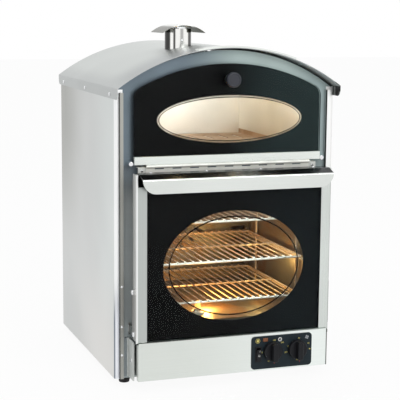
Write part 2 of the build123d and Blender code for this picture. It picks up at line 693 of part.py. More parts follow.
def control_chassis():
    """Tray behind the panel: floor, sides, and a front wall that carries the switches."""
    half = 186.0
    path = bent_sheet([(-half, 66), (-half, 6), (half, 6), (half, 66)], 2.0)
    tray = along_y(path, -44, FASCIA_Y + SHEET)
    wall = block((20, 175), (-44, -42.8), (6.4, 66))
    holes = rod_y(4.2, THERMOSTAT_X, -46, -40, KNOB_Z) + rod_y(4.2, TIMER_X, -46, -40, KNOB_Z)
    return tray + wall - holes


def side_bracket():
    """Left support plate of the control tray, folded onto the fascia."""
    path = bent_sheet([(-208, FASCIA_Y + SHEET / 2 - 1.4), (-197.55, FASCIA_Y + SHEET / 2 - 1.4),
                       (-197.55, -39)], 1.5, 1.5)
    plate = Pos(0, 0, 4.0) * extrude(path, amount=76.5)
    corner = plate.edges().filter_by(Axis.X).filter_by(lambda e: e.center().Y < -38)
    return fillet(corner, 4.0) - rod_x(DOOR_SWEEP_R, -210, -190, DOOR_PIVOT_Y, DOOR_PIVOT_Z)


def switch_bodies():
    """Thermostat and timer bodies on the tray's wall, bored for the shafts."""
    bodies = []
    for x, width in ((THERMOSTAT_X, 36), (TIMER_X, 40)):
        body = block((x - width / 2, x + width / 2), (-42.8, -8), (26, 66))
        body = fillet(body.edges().filter_by(Axis.Y), 5)
        bodies.append(body - rod_y(3.0 + RUN, x, -44, -20, KNOB_Z))
    return bodies


def dial_knob(x):
    """Dial knob: skirted disc with a raised finger bar, on its own shaft."""
    back = PANEL_Y - 1.5 - 0.4
    disc = Cylinder(KNOB_D / 2, 9)
    disc = fillet(disc.edges().group_by(Axis.Z)[-1], 1.6)
    bar = Pos(0, 0, 9.0) * Box(11, KNOB_D - 2.5, 14)
    bar = fillet(bar.edges().filter_by(Axis.Z), 3.0)
    bar = fillet(bar.edges().group_by(Axis.Z)[-1], 1.6)
    pointer = Pos(0, KNOB_D / 2 - 3.4, 16) * Box(1.4, 4.6, 1.0)
    knob = Pos(x, back, KNOB_Z) * Rot(90, 0, 0) * (Pos(0, 0, 4.5) * disc + Pos(0, 0, 5.6) * (bar - pointer))
    return knob + rod_y(3.0, x, back - 1, -24, KNOB_Z)


def rocker_bezel():
    """Frame of the on-off rocker with its body behind the panel."""
    y = PANEL_Y - 1.5
    bezel = block((ROCKER_X - 6.5, ROCKER_X + 6.5), (y - 1.6, y), (ROCKER_Z - 15.5, ROCKER_Z + 15.5))
    bezel = fillet(bezel.edges().group_by(Axis.Y)[0], 0.7)
    body = block((ROCKER_X - 5, ROCKER_X + 5), (y, y + 16), (ROCKER_Z - 14, ROCKER_Z + 14))
    pocket = block((ROCKER_X - 4.2, ROCKER_X + 4.2), (y - 3, y + 14), (ROCKER_Z - 13, ROCKER_Z + 13))
    return bezel + body - pocket


def rocker_button():
    """Rocker with a shallow V face on a round barrel, tilted to its off position."""
    y = PANEL_Y - 1.5
    tilt = 2.6
    face = make_face(Polyline((y - 2.6 - tilt, 11.5), (y - 2.6, 0), (y - 2.6 - tilt, -11.5),
                              (y + 3, -9), (y + 3, 9), close=True))
    button = along_x(face, ROCKER_X - 3.9, ROCKER_X + 3.9)
    button += rod_x(3.2, ROCKER_X - 3.9, ROCKER_X + 3.9, y + 1.0, 0)
    pivot = Pos(ROCKER_X, y + 1.0, ROCKER_Z)
    return pivot * Rot(8, 0, 0) * Pos(-ROCKER_X, -(y + 1.0), 0) * button


def pilot_lamp():
    """Amber lens with its barrel through the panel."""
    lens = block((57, 67), (PANEL_Y - 3.4, PANEL_Y - 1.5), (67.6, 74.4))
    lens = fillet(lens.edges().group_by(Axis.Y)[0], 1.2)
    return lens + rod_y(3.9, 62, PANEL_Y - 2, PANEL_Y + 14, 71)


def cable_gland():
    """Hexagon gland with a domed nut on the back panel; the cord hole runs through it."""
    hexagon = extrude(Plane.XZ.offset(-BODY_D) * RegularPolygon(12, 6), amount=-6)
    dome = Pos(0, BODY_D + 11, 0) * Rot(-90, 0, 0) * Cone(10.2, 7.5, 10)
    thread = rod_y(7.9, 0, BODY_D - 12, BODY_D + 8, 0)
    nut = extrude(Plane.XZ.offset(-(BODY_D - SHEET - 5)) * RegularPolygon(11.5, 6), amount=-5)
    gland = hexagon + dome + thread + nut - rod_y(CORD_HOLE_D / 2, 0, BODY_D - 13, BODY_D + 20, 0)
    return Pos(GLAND_X, 0, GLAND_Z) * gland


# ---- the assembly ----
def build():
    os.makedirs("parts", exist_ok=True)
    panel_left, panel_right = both_sides(side_panel())
    export_node("side_panel_left", panel_left)
    export_node("side_panel_right", panel_right)
    export_node("base_pan", base_pan())
    export_node("rubber_feet", *[rubber_foot(x, y) for x, y in foot_places()])
    export_node("back_panel", back_panel())
    export_node("roof_sheet", roof_sheet())
    export_node("roof_edge_strip", roof_edge_strip())
    export_node("arch_fascia", arch_fascia())
    export_node("lower_fascia", lower_fascia())
    export_node("corner_strips", *both_sides(corner_strip()))
    export_node("shell_rivets", *shell_rivets())
    export_node("shell_screws", *shell_screws())
    export_node("vent_tube", vent_tube())
    export_node("vent_cap", vent_cap())
    export_node("cap_strap", cap_strap())

    export_node("display_liner", display_liner())
    export_node("display_floor", display_floor())
    export_node("lampholders", *[lampholder(*site) for site in lamp_sites()])
    export_node("lamp_bulbs", *[lamp_bulb(*site) for site in lamp_sites()])
    export_node("display_seal", display_seal())
    export_node("catch_magnet", catch_magnet())
    export_node("upper_glass", upper_glass())
    export_node("upper_trim", upper_trim())
    export_node("upper_knob", upper_knob())
    export_node("knob_screw", knob_screw())
    export_node("hinge_leaf_fixed", hinge_leaf(0, True))
    export_node("hinge_leaf_door", hinge_leaf(1, False))
    export_node("hinge_pin", rod_x(1.5, -HINGE_LEN / 2 - 0.5, HINGE_LEN / 2 + 0.5, HINGE_Y, HINGE_Z))

    export_node("door_frame", door_frame())
    export_node("door_outer_glass", door_outer_glass())
    export_node("door_inner_tray", door_inner_tray())
    export_node("door_inner_glass", door_inner_glass())
    export_node("door_handle", door_handle())
    export_node("handle_screws", *handle_screws())
    export_node("hinge_plates", *both_sides(hinge_plate()))
    export_node("door_pins", *door_pins())
    export_node("hinge_arms", *both_sides(hinge_arm()))

    export_node("mouth_frame", mouth_frame())
    export_node("oven_seal", oven_seal())
    export_node("oven_liner", oven_liner())
    for name, z in zip(("rack_bottom", "rack_middle", "rack_top"), RACK_Z):
        export_node(name, rack(z))
    export_node("rack_ladders", *both_sides(rack_ladder()))
    export_node("fan_baffle", fan_baffle())
    export_node("fan_wheel", fan_wheel())
    export_node("fan_motor", fan_motor())
    export_node("ring_element", ring_element())
    export_node("insulation_blanket", insulation_blanket())

    export_node("control_panel", control_panel())
    export_node("control_plate", control_plate())
    export_node("control_chassis", control_chassis())
    export_node("side_brackets", *both_sides(side_bracket()))
    export_node("switch_bodies", *switch_bodies())
    export_node("thermostat_knob", dial_knob(THERMOSTAT_X))
    export_node("timer_knob", dial_knob(TIMER_X))
    export_node("rocker_bezel", rocker_bezel())
    export_node("rocker_button", rocker_button())
    export_node("pilot_lamp", pilot_lamp())
    export_node("cable_gland", cable_gland())


build()
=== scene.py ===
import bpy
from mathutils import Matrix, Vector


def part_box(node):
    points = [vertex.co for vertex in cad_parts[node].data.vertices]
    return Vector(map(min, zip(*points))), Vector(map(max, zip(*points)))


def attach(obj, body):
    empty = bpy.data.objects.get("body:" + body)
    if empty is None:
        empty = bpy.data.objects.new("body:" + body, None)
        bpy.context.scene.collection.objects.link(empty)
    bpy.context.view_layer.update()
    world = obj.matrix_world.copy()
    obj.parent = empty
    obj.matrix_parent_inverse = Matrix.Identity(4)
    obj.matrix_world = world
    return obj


bl_info = {
    "name": "Baked Potato Oven",
    "version": (1, 0, 0),
    "blender": (4, 5, 0),
    "location": "View3D > Sidebar > Potato Oven",
    "description": "Finishes and fine details of a counter-top baked potato oven",
    "category": "Object",
}

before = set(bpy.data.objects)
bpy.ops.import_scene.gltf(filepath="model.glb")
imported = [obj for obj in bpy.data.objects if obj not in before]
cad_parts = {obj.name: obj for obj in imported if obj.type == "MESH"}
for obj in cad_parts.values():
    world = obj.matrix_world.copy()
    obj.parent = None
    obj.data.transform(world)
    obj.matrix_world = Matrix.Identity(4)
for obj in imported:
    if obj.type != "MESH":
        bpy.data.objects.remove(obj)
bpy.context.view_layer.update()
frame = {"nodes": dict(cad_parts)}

import bmesh
import bpy
from math import atan2, cos, pi, radians, sin, sqrt
from mathutils import Matrix, Vector
from bpy.props import FloatProperty, FloatVectorProperty, PointerProperty

NODES = frame["nodes"]
MM = 0.001
X, Y, Z = 0, 1, 2
FILM_THICKNESS = 0.1 * MM       # enamel printed on glass
MARK_THICKNESS = 0.04 * MM      # print of the controls


def low(node):
    return Vector(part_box(node)[0])


def high(node):
    return Vector(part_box(node)[1])


def middle(node):
    return (low(node) + high(node)) / 2


# ---- sizes and colours that a user would change ----
def colour(name, description, default):
    return FloatVectorProperty(name=name, description=description, default=default,
                               subtype="COLOR", size=3, min=0.0, max=1.0)


def length(name, description, default):
    return FloatProperty(name=name, description=description, default=default,
                         subtype="DISTANCE", unit="LENGTH")


def amount(name, description, default, top=10.0):
    return FloatProperty(name=name, description=description, default=default, min=0.0, max=top)


class OvenMetals(bpy.types.PropertyGroup):
    side: colour("Side panels", "Brushed sheet of the two sides", (0.625, 0.638, 0.63))
    roof: colour("Roof", "Brushed sheet of the curved roof", (0.585, 0.61, 0.595))
    fascia: colour("Arched fascia", "Darker sheet round the upper door", (0.165, 0.207, 0.24))
    front: colour("Front sheet", "Bright sheet of the handle, brackets and roof edge", (0.76, 0.79, 0.76))
    frame: colour("Door frame", "Satin profile round the oven door", (0.53, 0.56, 0.54))
    trim: colour("Trim bar", "Bright bar under the display door", (0.80, 0.84, 0.80))
    polished: colour("Polished steel", "Rivets, screws and door pins", (0.82, 0.83, 0.84))
    oven: colour("Oven lining", "Warm-stained sheet inside the oven", (0.16, 0.135, 0.11))
    display: colour("Display lining", "Bright sheet inside the display", (0.70, 0.68, 0.64))


class OvenGlass(bpy.types.PropertyGroup):
    tint: colour("Glass", "Tint of the toughened glass", (0.93, 0.97, 0.95))
    ink: colour("Printed ink", "Black print behind the glass", (0.003, 0.003, 0.0035))
    line: colour("Print line", "Thin line round the upper window", (0.13, 0.12, 0.10))
    upper_half_width: length("Upper window half width", "Half width of the display's oval", 0.1483)
    upper_half_height: length("Upper window half height", "Half height of the display's oval", 0.0460)
    lower_half_width: length("Lower window half width", "Half width of the oven's oval", 0.1434)
    lower_half_height: length("Lower window half height", "Half height of the oven's oval", 0.1075)
    upper_band: length("Upper tinted band", "Width of the tinted band inside the upper oval", 0.0033)
    band: length("Tinted band", "Width of the tinted band inside the lower oval", 0.0102)


class OvenControls(bpy.types.PropertyGroup):
    black: colour("Black plastic", "Knobs and switch", (0.012, 0.0125, 0.015))
    numbers: colour("Dial numbers", "Print of the dials", (0.80, 0.68, 0.18))
    marks: colour("Red marks", "Start marks under the dials", (0.62, 0.03, 0.02))
    number_height: length("Number height", "Height of the dial numbers", 0.0042)


class OvenStage(bpy.types.PropertyGroup):
    world: amount("World light", "Strength of the soft light from all round", 0.72)
    key: amount("Key lamp", "Power of the large lamp at the front right", 26.0, 500.0)
    top: amount("Top lamp", "Power of the large lamp above", 14.0, 500.0)
    oven_glow: amount("Oven light", "Power of the lamp on the oven's floor", 2.4, 100.0)
    back_glow: amount("Back glow", "Power that the oven's back and side lights are set from", 0.5, 100.0)
    rack_light: amount("Rack light", "Power of the strip behind the oven's mouth", 1.6, 100.0)
    display_glow: amount("Display light", "Power that the two lamps in the display are set from", 0.75, 100.0)


def looks():
    return bpy.context.scene.oven_looks


class OvenLooks(bpy.types.PropertyGroup):
    metals: PointerProperty(type=OvenMetals)
    glass: PointerProperty(type=OvenGlass)
    controls: PointerProperty(type=OvenControls)
    stage: PointerProperty(type=OvenStage)


# ---- shader and node helpers ----
class Maker:
    """Adds nodes to one tree and links what they are given."""

    def __init__(self, tree):
        self.tree = tree

    def feed(self, socket, value):
        if isinstance(value, bpy.types.NodeSocket):
            self.tree.links.new(value, socket)
        else:
            socket.default_value = value

    def add(self, kind, inputs=None, **settings):
        node = self.tree.nodes.new(kind)
        for key, value in settings.items():
            setattr(node, key, value)
        for socket, value in (inputs or {}).items():
            self.feed(node.inputs[socket], value)
        return node

    def math(self, operation, *values, clamp=False):
        node = self.add("ShaderNodeMath", operation=operation, use_clamp=clamp)
        for i, value in enumerate(values):
            self.feed(node.inputs[i], value)
        return node.outputs[0]

    def remap(self, value, from_min, from_max, to_min, to_max, smooth=False):
        kind = "SMOOTHSTEP" if smooth else "LINEAR"
        node = self.add("ShaderNodeMapRange", interpolation_type=kind)
        for socket, number in zip(range(5), (value, from_min, from_max, to_min, to_max)):
            self.feed(node.inputs[socket], number)
        return node.outputs[0]

    def mix(self, factor, a, b, blend="MIX"):
        node = self.add("ShaderNodeMix", data_type="RGBA", blend_type=blend)
        self.feed(node.inputs["Factor"], factor)
        self.feed(node.inputs[6], a)
        self.feed(node.inputs[7], b)
        return node.outputs[2]

    def group(self, tree, inputs):
        node = self.add("ShaderNodeGroup", node_tree=tree)
        for name, value in inputs.items():
            self.feed(node.inputs[name], value)
        return node


def new_group(name, inputs, outputs):
    """A shader group with its sockets; returns (tree, maker, input node, output node)."""
    tree = bpy.data.node_groups.new(name, "ShaderNodeTree")
    for label, kind, default in inputs:
        socket = tree.interface.new_socket(label, in_out="INPUT", socket_type=kind)
        if default is not None:
            socket.default_value = default
    for label, kind in outputs:
        tree.interface.new_socket(label, in_out="OUTPUT", socket_type=kind)
    maker = Maker(tree)
    return tree, maker, maker.add("NodeGroupInput"), maker.add("NodeGroupOutput")


def brushed_grain_group():
    """Fine lines of a brushed sheet: long along one axis and close across it."""
    tree, make, given, result = new_group(
        "brushed_grain",
        (("Place", "NodeSocketVector", None), ("Stretch", "NodeSocketVector", (4.0, 900.0, 900.0)),
         ("Contrast", "NodeSocketFloat", 0.06), ("Roughness", "NodeSocketFloat", 0.3)),
        (("Shade", "NodeSocketFloat"), ("Roughness", "NodeSocketFloat"), ("Height", "NodeSocketFloat")))
    stretched = make.add("ShaderNodeVectorMath", operation="MULTIPLY",
                         inputs={0: given.outputs["Place"], 1: given.outputs["Stretch"]})
    lines = make.add("ShaderNodeTexNoise", noise_dimensions="3D",
                     inputs={"Vector": stretched.outputs[0], "Scale": 1.0, "Detail": 3.0, "Roughness": 0.6})
    streak = make.math("SUBTRACT", lines.outputs[0], 0.5)
    swing = make.math("MULTIPLY", streak, given.outputs["Contrast"])
    make.feed(result.inputs["Shade"], make.math("ADD", make.math("MULTIPLY", swing, 2.0), 1.0))
    rough = make.math("ADD", given.outputs["Roughness"], make.math("MULTIPLY", streak, 0.16))
    make.feed(result.inputs["Roughness"], make.math("MAXIMUM", rough, 0.03))
    make.feed(result.inputs["Height"], lines.outputs[0])
    return tree


def handling_marks_group():
    """Large soft patches where a surface has been wiped and touched."""
    tree, make, given, result = new_group(
        "handling_marks",
        (("Place", "NodeSocketVector", None), ("Size", "NodeSocketFloat", 0.12),
         ("Depth", "NodeSocketFloat", 0.08)),
        (("Shade", "NodeSocketFloat"), ("Mask", "NodeSocketFloat")))
    scale = make.math("DIVIDE", 1.0, given.outputs["Size"])
    cloud = make.add("ShaderNodeTexNoise", inputs={"Vector": given.outputs["Place"], "Scale": scale,
                                                   "Detail": 2.0, "Roughness": 0.5})
    mask = make.remap(cloud.outputs[0], 0.35, 0.65, 0.0, 1.0, smooth=True)
    make.feed(result.inputs["Mask"], mask)
    make.feed(result.inputs["Shade"], make.math("SUBTRACT", 1.0, make.math("MULTIPLY", mask,
                                                                          given.outputs["Depth"])))
    return tree


def moulded_skin_group():
    """Fine pebbled skin of moulded plastic and rubber."""
    tree, make, given, result = new_group(
        "moulded_skin",
        (("Place", "NodeSocketVector", None), ("Grain", "NodeSocketFloat", 0.0006),
         ("Roughness", "NodeSocketFloat", 0.4)),
        (("Shade", "NodeSocketFloat"), ("Roughness", "NodeSocketFloat"), ("Height", "NodeSocketFloat")))
    scale = make.math("DIVIDE", 1.0, given.outputs["Grain"])
    pebble = make.add("ShaderNodeTexNoise", inputs={"Vector": given.outputs["Place"], "Scale": scale,
                                                    "Detail": 2.0})
    make.feed(result.inputs["Height"], pebble.outputs[0])
    make.feed(result.inputs["Shade"], make.remap(pebble.outputs[0], 0.3, 0.7, 0.85, 1.15))
    spread = make.math("MULTIPLY", make.math("SUBTRACT", pebble.outputs[0], 0.5), 0.2)
    make.feed(result.inputs["Roughness"], make.math("ADD", given.outputs["Roughness"], spread))
    return tree


def oven_heat_group():
    """Brown and straw staining that heat and steam leave on sheet metal."""
    tree, make, given, result = new_group(
        "oven_heat",
        (("Place", "NodeSocketVector", None), ("Colour", "NodeSocketColor", (0.5, 0.5, 0.5, 1.0)),
         ("Stain", "NodeSocketColor", (0.25, 0.13, 0.05, 1.0)), ("Strength", "NodeSocketFloat", 0.5)),
        (("Colour", "NodeSocketColor"), ("Mask", "NodeSocketFloat")))
    cloud = make.add("ShaderNodeTexNoise", inputs={"Vector": given.outputs["Place"], "Scale": 14.0,
                                                   "Detail": 4.0, "Distortion": 0.6})
    mask = make.math("MULTIPLY", make.remap(cloud.outputs[0], 0.4, 0.68, 0.0, 1.0, smooth=True),
                     given.outputs["Strength"])
    make.feed(result.inputs["Mask"], mask)
    make.feed(result.inputs["Colour"], make.mix(mask, given.outputs["Colour"], given.outputs["Stain"]))
    return tree


GROUPS = {}


def shared_groups():
    GROUPS["grain"] = brushed_grain_group()
    GROUPS["marks"] = handling_marks_group()
    GROUPS["skin"] = moulded_skin_group()
    GROUPS["heat"] = oven_heat_group()


# ---- finishes ----
def blank_material(name):
    """A material with its maker, its shader and the object's own coordinates."""
    material = bpy.data.materials.new(name)
    material.use_nodes = True
    make = Maker(material.node_tree)
    place = make.add("ShaderNodeTexCoord").outputs["Object"]
    return material, make, material.node_tree.nodes["Principled BSDF"], place


def opaque(tint):
    return (*tint, 1.0)


def toned(make, place, tint, tones):
    """A colour that changes over the object: each tone is (axis, start, full, colour), in metres,
    and may be kept to a part of it by more (axis, start, full) ranges."""
    parts = make.add("ShaderNodeSeparateXYZ", {0: place}).outputs
    result = opaque(tint)
    for axis, start, full, other, *limits in tones:
        share = make.remap(parts[axis], start, full, 0.0, 1.0, smooth=True)
        for along, begin, end in limits:
            share = make.math("MULTIPLY", share, make.remap(parts[along], begin, end, 0.0, 1.0, smooth=True))
        result = make.mix(share, result, opaque(other))
    return result


def brushed_metal(name, tint, roughness, stretch, contrast=0.05, wiped=0.05, patch=0.15, bump=0.05,
                  tones=(), metallic=1.0, under=None):
    """Brushed or satin sheet; stretch is the grain's frequency along each axis, per metre.
    under is a paler, less metallic colour painted on the side that faces down: painted light where that side
    lies in shade."""
    material, make, shader, place = blank_material(name)
    grain = make.group(GROUPS["grain"], {"Place": place, "Stretch": stretch, "Contrast": contrast,
                                         "Roughness": roughness})
    marks = make.group(GROUPS["marks"], {"Place": place, "Size": patch, "Depth": wiped})
    shade = make.math("MULTIPLY", grain.outputs["Shade"], marks.outputs["Shade"])
    tone = toned(make, place, tint, tones)
    shader.inputs["Metallic"].default_value = metallic
    # painted light on faces that point down
    if under:
        normal = make.add("ShaderNodeNewGeometry").outputs["Normal"]
        facing = make.add("ShaderNodeSeparateXYZ", {0: normal}).outputs[Z]
        share = make.remap(facing, -0.1, -0.3, 0.0, 1.0)
        tone = make.mix(share, tone, opaque(under))
        make.feed(shader.inputs["Metallic"], make.math("SUBTRACT", metallic, share))
    make.feed(shader.inputs["Base Color"], make.mix(1.0, tone, shade, "MULTIPLY"))
    rough = make.math("ADD", grain.outputs["Roughness"], make.math("MULTIPLY", marks.outputs["Mask"], 0.05))
    make.feed(shader.inputs["Roughness"], rough)
    relief = make.add("ShaderNodeBump", {"Strength": bump, "Distance": 0.0002,
                                         "Height": grain.outputs["Height"]})
    make.feed(shader.inputs["Normal"], relief.outputs[0])
    return material


def tube_with_painted_reflections(name, axis):
    """A bright tube with reflections painted on it as upright light and dark bands; axis is a point on its
    middle line.
    """
    material, make, shader, place = blank_material(name)
    parts = make.add("ShaderNodeSeparateXYZ", {0: place}).outputs
    across, along = make.math("SUBTRACT", parts[X], axis.x), make.math("SUBTRACT", parts[Y], axis.y)
    turn = make.math("ARCTAN2", along, across)
    share = make.math("ADD", make.math("DIVIDE", turn, 2 * pi), 0.5)
    ramp = make.add("ShaderNodeValToRGB", {0: share})
    # painted reflections: light and dark bands round the tube
    bands = ((0.0, 0.03), (0.095, 0.06), (0.11, 0.95), (0.140, 0.95), (0.148, 0.10), (0.165, 0.10),
             (0.175, 0.92), (0.222, 0.92), (0.235, 0.45), (0.258, 0.45), (0.275, 0.93), (0.33, 0.93),
             (0.345, 0.12), (0.45, 0.05), (0.50, 0.55), (0.62, 0.85), (0.70, 0.3), (0.78, 0.85),
             (0.93, 0.5), (0.985, 0.05), (1.0, 0.03))
    stops = ramp.color_ramp.elements
    for i, (where, shade) in enumerate(bands):
        stop = stops.new(where) if 0 < i < len(bands) - 1 else stops[0 if i == 0 else -1]
        stop.color = (shade, shade, shade * 0.97, 1.0)
    grain = make.group(GROUPS["grain"], {"Place": place, "Stretch": (60.0, 60.0, 900.0), "Contrast": 0.05,
                                         "Roughness": 0.12})
    make.feed(shader.inputs["Base Color"], make.mix(1.0, ramp.outputs[0], grain.outputs["Shade"], "MULTIPLY"))
    make.feed(shader.inputs["Roughness"], grain.outputs["Roughness"])
    shader.inputs["Metallic"].default_value = 1.0
    return material


def heated_metal(name, tint, roughness, strength, stain=(0.20, 0.09, 0.03), metallic=0.8, tones=()):
    """Sheet or wire that has been hot many times."""
    material, make, shader, place = blank_material(name)
    heat = make.group(GROUPS["heat"], {"Place": place, "Colour": toned(make, place, tint, tones),
                                       "Stain": opaque(stain), "Strength": strength})
    grain = make.group(GROUPS["grain"], {"Place": place, "Stretch": (60.0, 60.0, 500.0),
                                         "Contrast": 0.08, "Roughness": roughness})
    make.feed(shader.inputs["Base Color"],
              make.mix(1.0, heat.outputs["Colour"], grain.outputs["Shade"], "MULTIPLY"))
    make.feed(shader.inputs["Roughness"], make.math("ADD", grain.outputs["Roughness"],
                                                    make.math("MULTIPLY", heat.outputs["Mask"], 0.2)))
    shader.inputs["Metallic"].default_value = metallic
    relief = make.add("ShaderNodeBump", {"Strength": 0.1, "Distance": 0.0003,
                                         "Height": grain.outputs["Height"]})
    make.feed(shader.inputs["Normal"], relief.outputs[0])
    return material


def moulded(name, tint, roughness=0.4, grain=0.0006, bump=0.2, coat=0.0):
    """Moulded plastic, rubber or baked paint with a fine skin."""
    material, make, shader, place = blank_material(name)
    skin = make.group(GROUPS["skin"], {"Place": place, "Grain": grain, "Roughness": roughness})
    marks = make.group(GROUPS["marks"], {"Place": place, "Size": 0.02, "Depth": 0.12})
    shade = make.math("MULTIPLY", skin.outputs["Shade"], marks.outputs["Shade"])
    make.feed(shader.inputs["Base Color"], make.mix(1.0, opaque(tint), shade, "MULTIPLY"))
    make.feed(shader.inputs["Roughness"], skin.outputs["Roughness"])
    shader.inputs["Coat Weight"].default_value = coat
    relief = make.add("ShaderNodeBump", {"Strength": bump, "Distance": 0.0002,
                                         "Height": skin.outputs["Height"]})
    make.feed(shader.inputs["Normal"], relief.outputs[0])
    return material


def toughened_glass(name, tint):
    """Clear toughened glass with faint wiping marks in its gloss."""
    material, make, shader, place = blank_material(name)
    marks = make.group(GROUPS["marks"], {"Place": place, "Size": 0.05, "Depth": 0.02})
    make.feed(shader.inputs["Base Color"], make.mix(1.0, opaque(tint), marks.outputs["Shade"], "MULTIPLY"))
    make.feed(shader.inputs["Roughness"], make.remap(marks.outputs["Mask"], 0.0, 1.0, 0.0, 0.02))
    shader.inputs["Transmission Weight"].default_value = 1.0
    shader.inputs["IOR"].default_value = 1.1
    shader.inputs["Specular IOR Level"].default_value = 0.05
    return material


def printed_film(name, tint, alpha=1.0, roughness=0.5, tones=()):
    """Enamel printed on glass; a part-clear print is a fine screen of dots."""
    material, make, shader, place = blank_material(name)
    skin = make.group(GROUPS["skin"], {"Place": place, "Grain": 0.0012, "Roughness": roughness})
    make.feed(shader.inputs["Base Color"],
              make.mix(1.0, toned(make, place, tint, tones), skin.outputs["Shade"], "MULTIPLY"))
    make.feed(shader.inputs["Roughness"], skin.outputs["Roughness"])
    shader.inputs["Specular IOR Level"].default_value = 0.05
    if alpha < 1.0:
        make.feed(shader.inputs["Alpha"], make.math("MULTIPLY", skin.outputs["Shade"], alpha, clamp=True))
    return material


def glowing(name, tint, strength):
    """Lit lamps: the one low in the oven glows much less than the two in the display."""
    material, make, shader, place = blank_material(name)
    skin = make.group(GROUPS["skin"], {"Place": place, "Grain": 0.004, "Roughness": 0.2})
    make.feed(shader.inputs["Base Color"], make.mix(1.0, opaque(tint), skin.outputs["Shade"], "MULTIPLY"))
    dim = (tint[0] * 0.14, tint[1] * 0.11, tint[2] * 0.04)
    lit = toned(make, place, tint, ((Z, 0.3, 0.25, dim),))
    make.feed(shader.inputs["Emission Color"], make.mix(1.0, lit, skin.outputs["Shade"], "MULTIPLY"))
    shader.inputs["Emission Strength"].default_value = strength
    make.feed(shader.inputs["Roughness"], skin.outputs["Roughness"])
    return material


def fibre_wool(name, tint):
    """Matted mineral wool."""
    material, make, shader, place = blank_material(name)
    fibres = make.add("ShaderNodeTexNoise", {"Vector": place, "Scale": 220.0, "Detail": 6.0,
                                             "Distortion": 1.5})
    make.feed(shader.inputs["Base Color"], make.mix(fibres.outputs[0], opaque([c * 0.6 for c in tint]),
                                                    opaque(tint)))
    make.feed(shader.inputs["Roughness"], make.remap(fibres.outputs[0], 0.0, 1.0, 0.85, 1.0))
    relief = make.add("ShaderNodeBump", {"Strength": 0.8, "Distance": 0.002, "Height": fibres.outputs[0]})
    make.feed(shader.inputs["Normal"], relief.outputs[0])
    return material


# ---- mesh helpers ----
def smooth_faces_tree():
    """Joins loose triangles and shades curved faces smooth, keeping folds sharp."""
    tree = bpy.data.node_groups.new("smooth_curved_faces", "GeometryNodeTree")
    tree.interface.new_socket("Geometry", in_out="INPUT", socket_type="NodeSocketGeometry")
    for label, default in (("Join within", 0.000002), ("Sharp above", radians(32))):
        socket = tree.interface.new_socket(label, in_out="INPUT", socket_type="NodeSocketFloat")
        socket.default_value = default
    tree.interface.new_socket("Geometry", in_out="OUTPUT", socket_type="NodeSocketGeometry")
    make = Maker(tree)
    given = make.add("NodeGroupInput")
    joined = make.add("GeometryNodeMergeByDistance", {"Geometry": given.outputs["Geometry"],
                                                      "Distance": given.outputs["Join within"]})
    angle = make.add("GeometryNodeInputMeshEdgeAngle")
    sharp = make.add("FunctionNodeCompare", data_type="FLOAT", operation="GREATER_THAN")
    make.feed(sharp.inputs["A"], angle.outputs["Unsigned Angle"])
    make.feed(sharp.inputs["B"], given.outputs["Sharp above"])
    smooth = make.add("GeometryNodeSetShadeSmooth", {"Geometry": joined.outputs["Geometry"],
                                                     "Shade Smooth": True}, domain="FACE")
    creased = make.add("GeometryNodeSetShadeSmooth", {"Geometry": smooth.outputs["Geometry"],
                                                      "Selection": sharp.outputs["Result"],
                                                      "Shade Smooth": False}, domain="EDGE")
    result = make.add("NodeGroupOutput")
    make.feed(result.inputs["Geometry"], creased.outputs["Geometry"])
    return tree


def finish_node(material, *names):
    """Gives CAD nodes their finish and smooth curved faces."""
    tree = bpy.data.node_groups.get("smooth_curved_faces") or smooth_faces_tree()
    for name in names:
        node = NODES[name]
        node.data.materials.clear()
        node.data.materials.append(material)
        node.modifiers.new("Smooth curved faces", "NODES").node_group = tree
        node.modifiers.new("Flat faces stay flat", "WEIGHTED_NORMAL").keep_sharp = True


def new_piece(name, mesh, material, body, smooth=False):
    """A finished piece at the origin that rides on its body."""
    piece = bpy.data.objects.new(name, mesh)
    bpy.context.scene.collection.objects.link(piece)
    mesh.name = name
    mesh.materials.clear()
    mesh.materials.append(material)
    mesh.polygons.foreach_set("use_smooth", [smooth] * len(mesh.polygons))
    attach(piece, body)
    return piece


def to_mesh(curve):
    """The mesh of a curve or text, which is then removed."""
    source = bpy.data.objects.new("source", curve)
    bpy.context.scene.collection.objects.link(source)
    bpy.context.view_layer.update()
    depsgraph = bpy.context.evaluated_depsgraph_get()
    mesh = bpy.data.meshes.new_from_object(source.evaluated_get(depsgraph))
    bpy.data.objects.remove(source)
    return mesh


def upright(mesh, x, y, z):
    """Stands a flat mesh up so that it faces -Y, with its middle at the place given."""
    mesh.transform(Matrix.Translation((x, y, z)) @ Matrix.Rotation(pi / 2, 4, "X"))
    return mesh


def tidy_mesh(mesh):
    """Merges doubles and turns the faces outwards."""
    work = bmesh.new()
    work.from_mesh(mesh)
    bmesh.ops.remove_doubles(work, verts=work.verts, dist=0.000001)
    bmesh.ops.recalc_face_normals(work, faces=work.faces)
    work.to_mesh(mesh)
    work.free()
    return mesh


def flat_plate(outlines, y, thickness):
    """An upright plate in the XZ plane; the outlines are loops of (x, z), the later ones holes."""
    curve = bpy.data.curves.new("outline", "CURVE")
    curve.dimensions = "2D"
    curve.fill_mode = "BOTH"
    curve.extrude = thickness / 2
    for outline in outlines:
        spline = curve.splines.new("POLY")
        spline.points.add(len(outline) - 1)
        for point, (px, pz) in zip(spline.points, outline):
            point.co = (px, pz, 0.0, 1.0)
        spline.use_cyclic_u = True
    return tidy_mesh(upright(to_mesh(curve), 0.0, y, 0.0))


def oval(centre, half_width, half_height, steps=128):
    return [(centre[0] + half_width * cos(2 * pi * i / steps),
             centre[1] + half_height * sin(2 * pi * i / steps)) for i in range(steps)]


def oval_ring(centre, half_width, half_height, outer, inner, y):
    """A printed ring between two ovals that are drawn in from the given one by outer and inner."""
    outlines = [oval(centre, half_width - inset, half_height - inset) for inset in (outer, inner)]
    return flat_plate(outlines, y, FILM_THICKNESS)


def rectangle(x0, x1, z0, z1):
    return [(x0, z0), (x1, z0), (x1, z1), (x0, z1)]


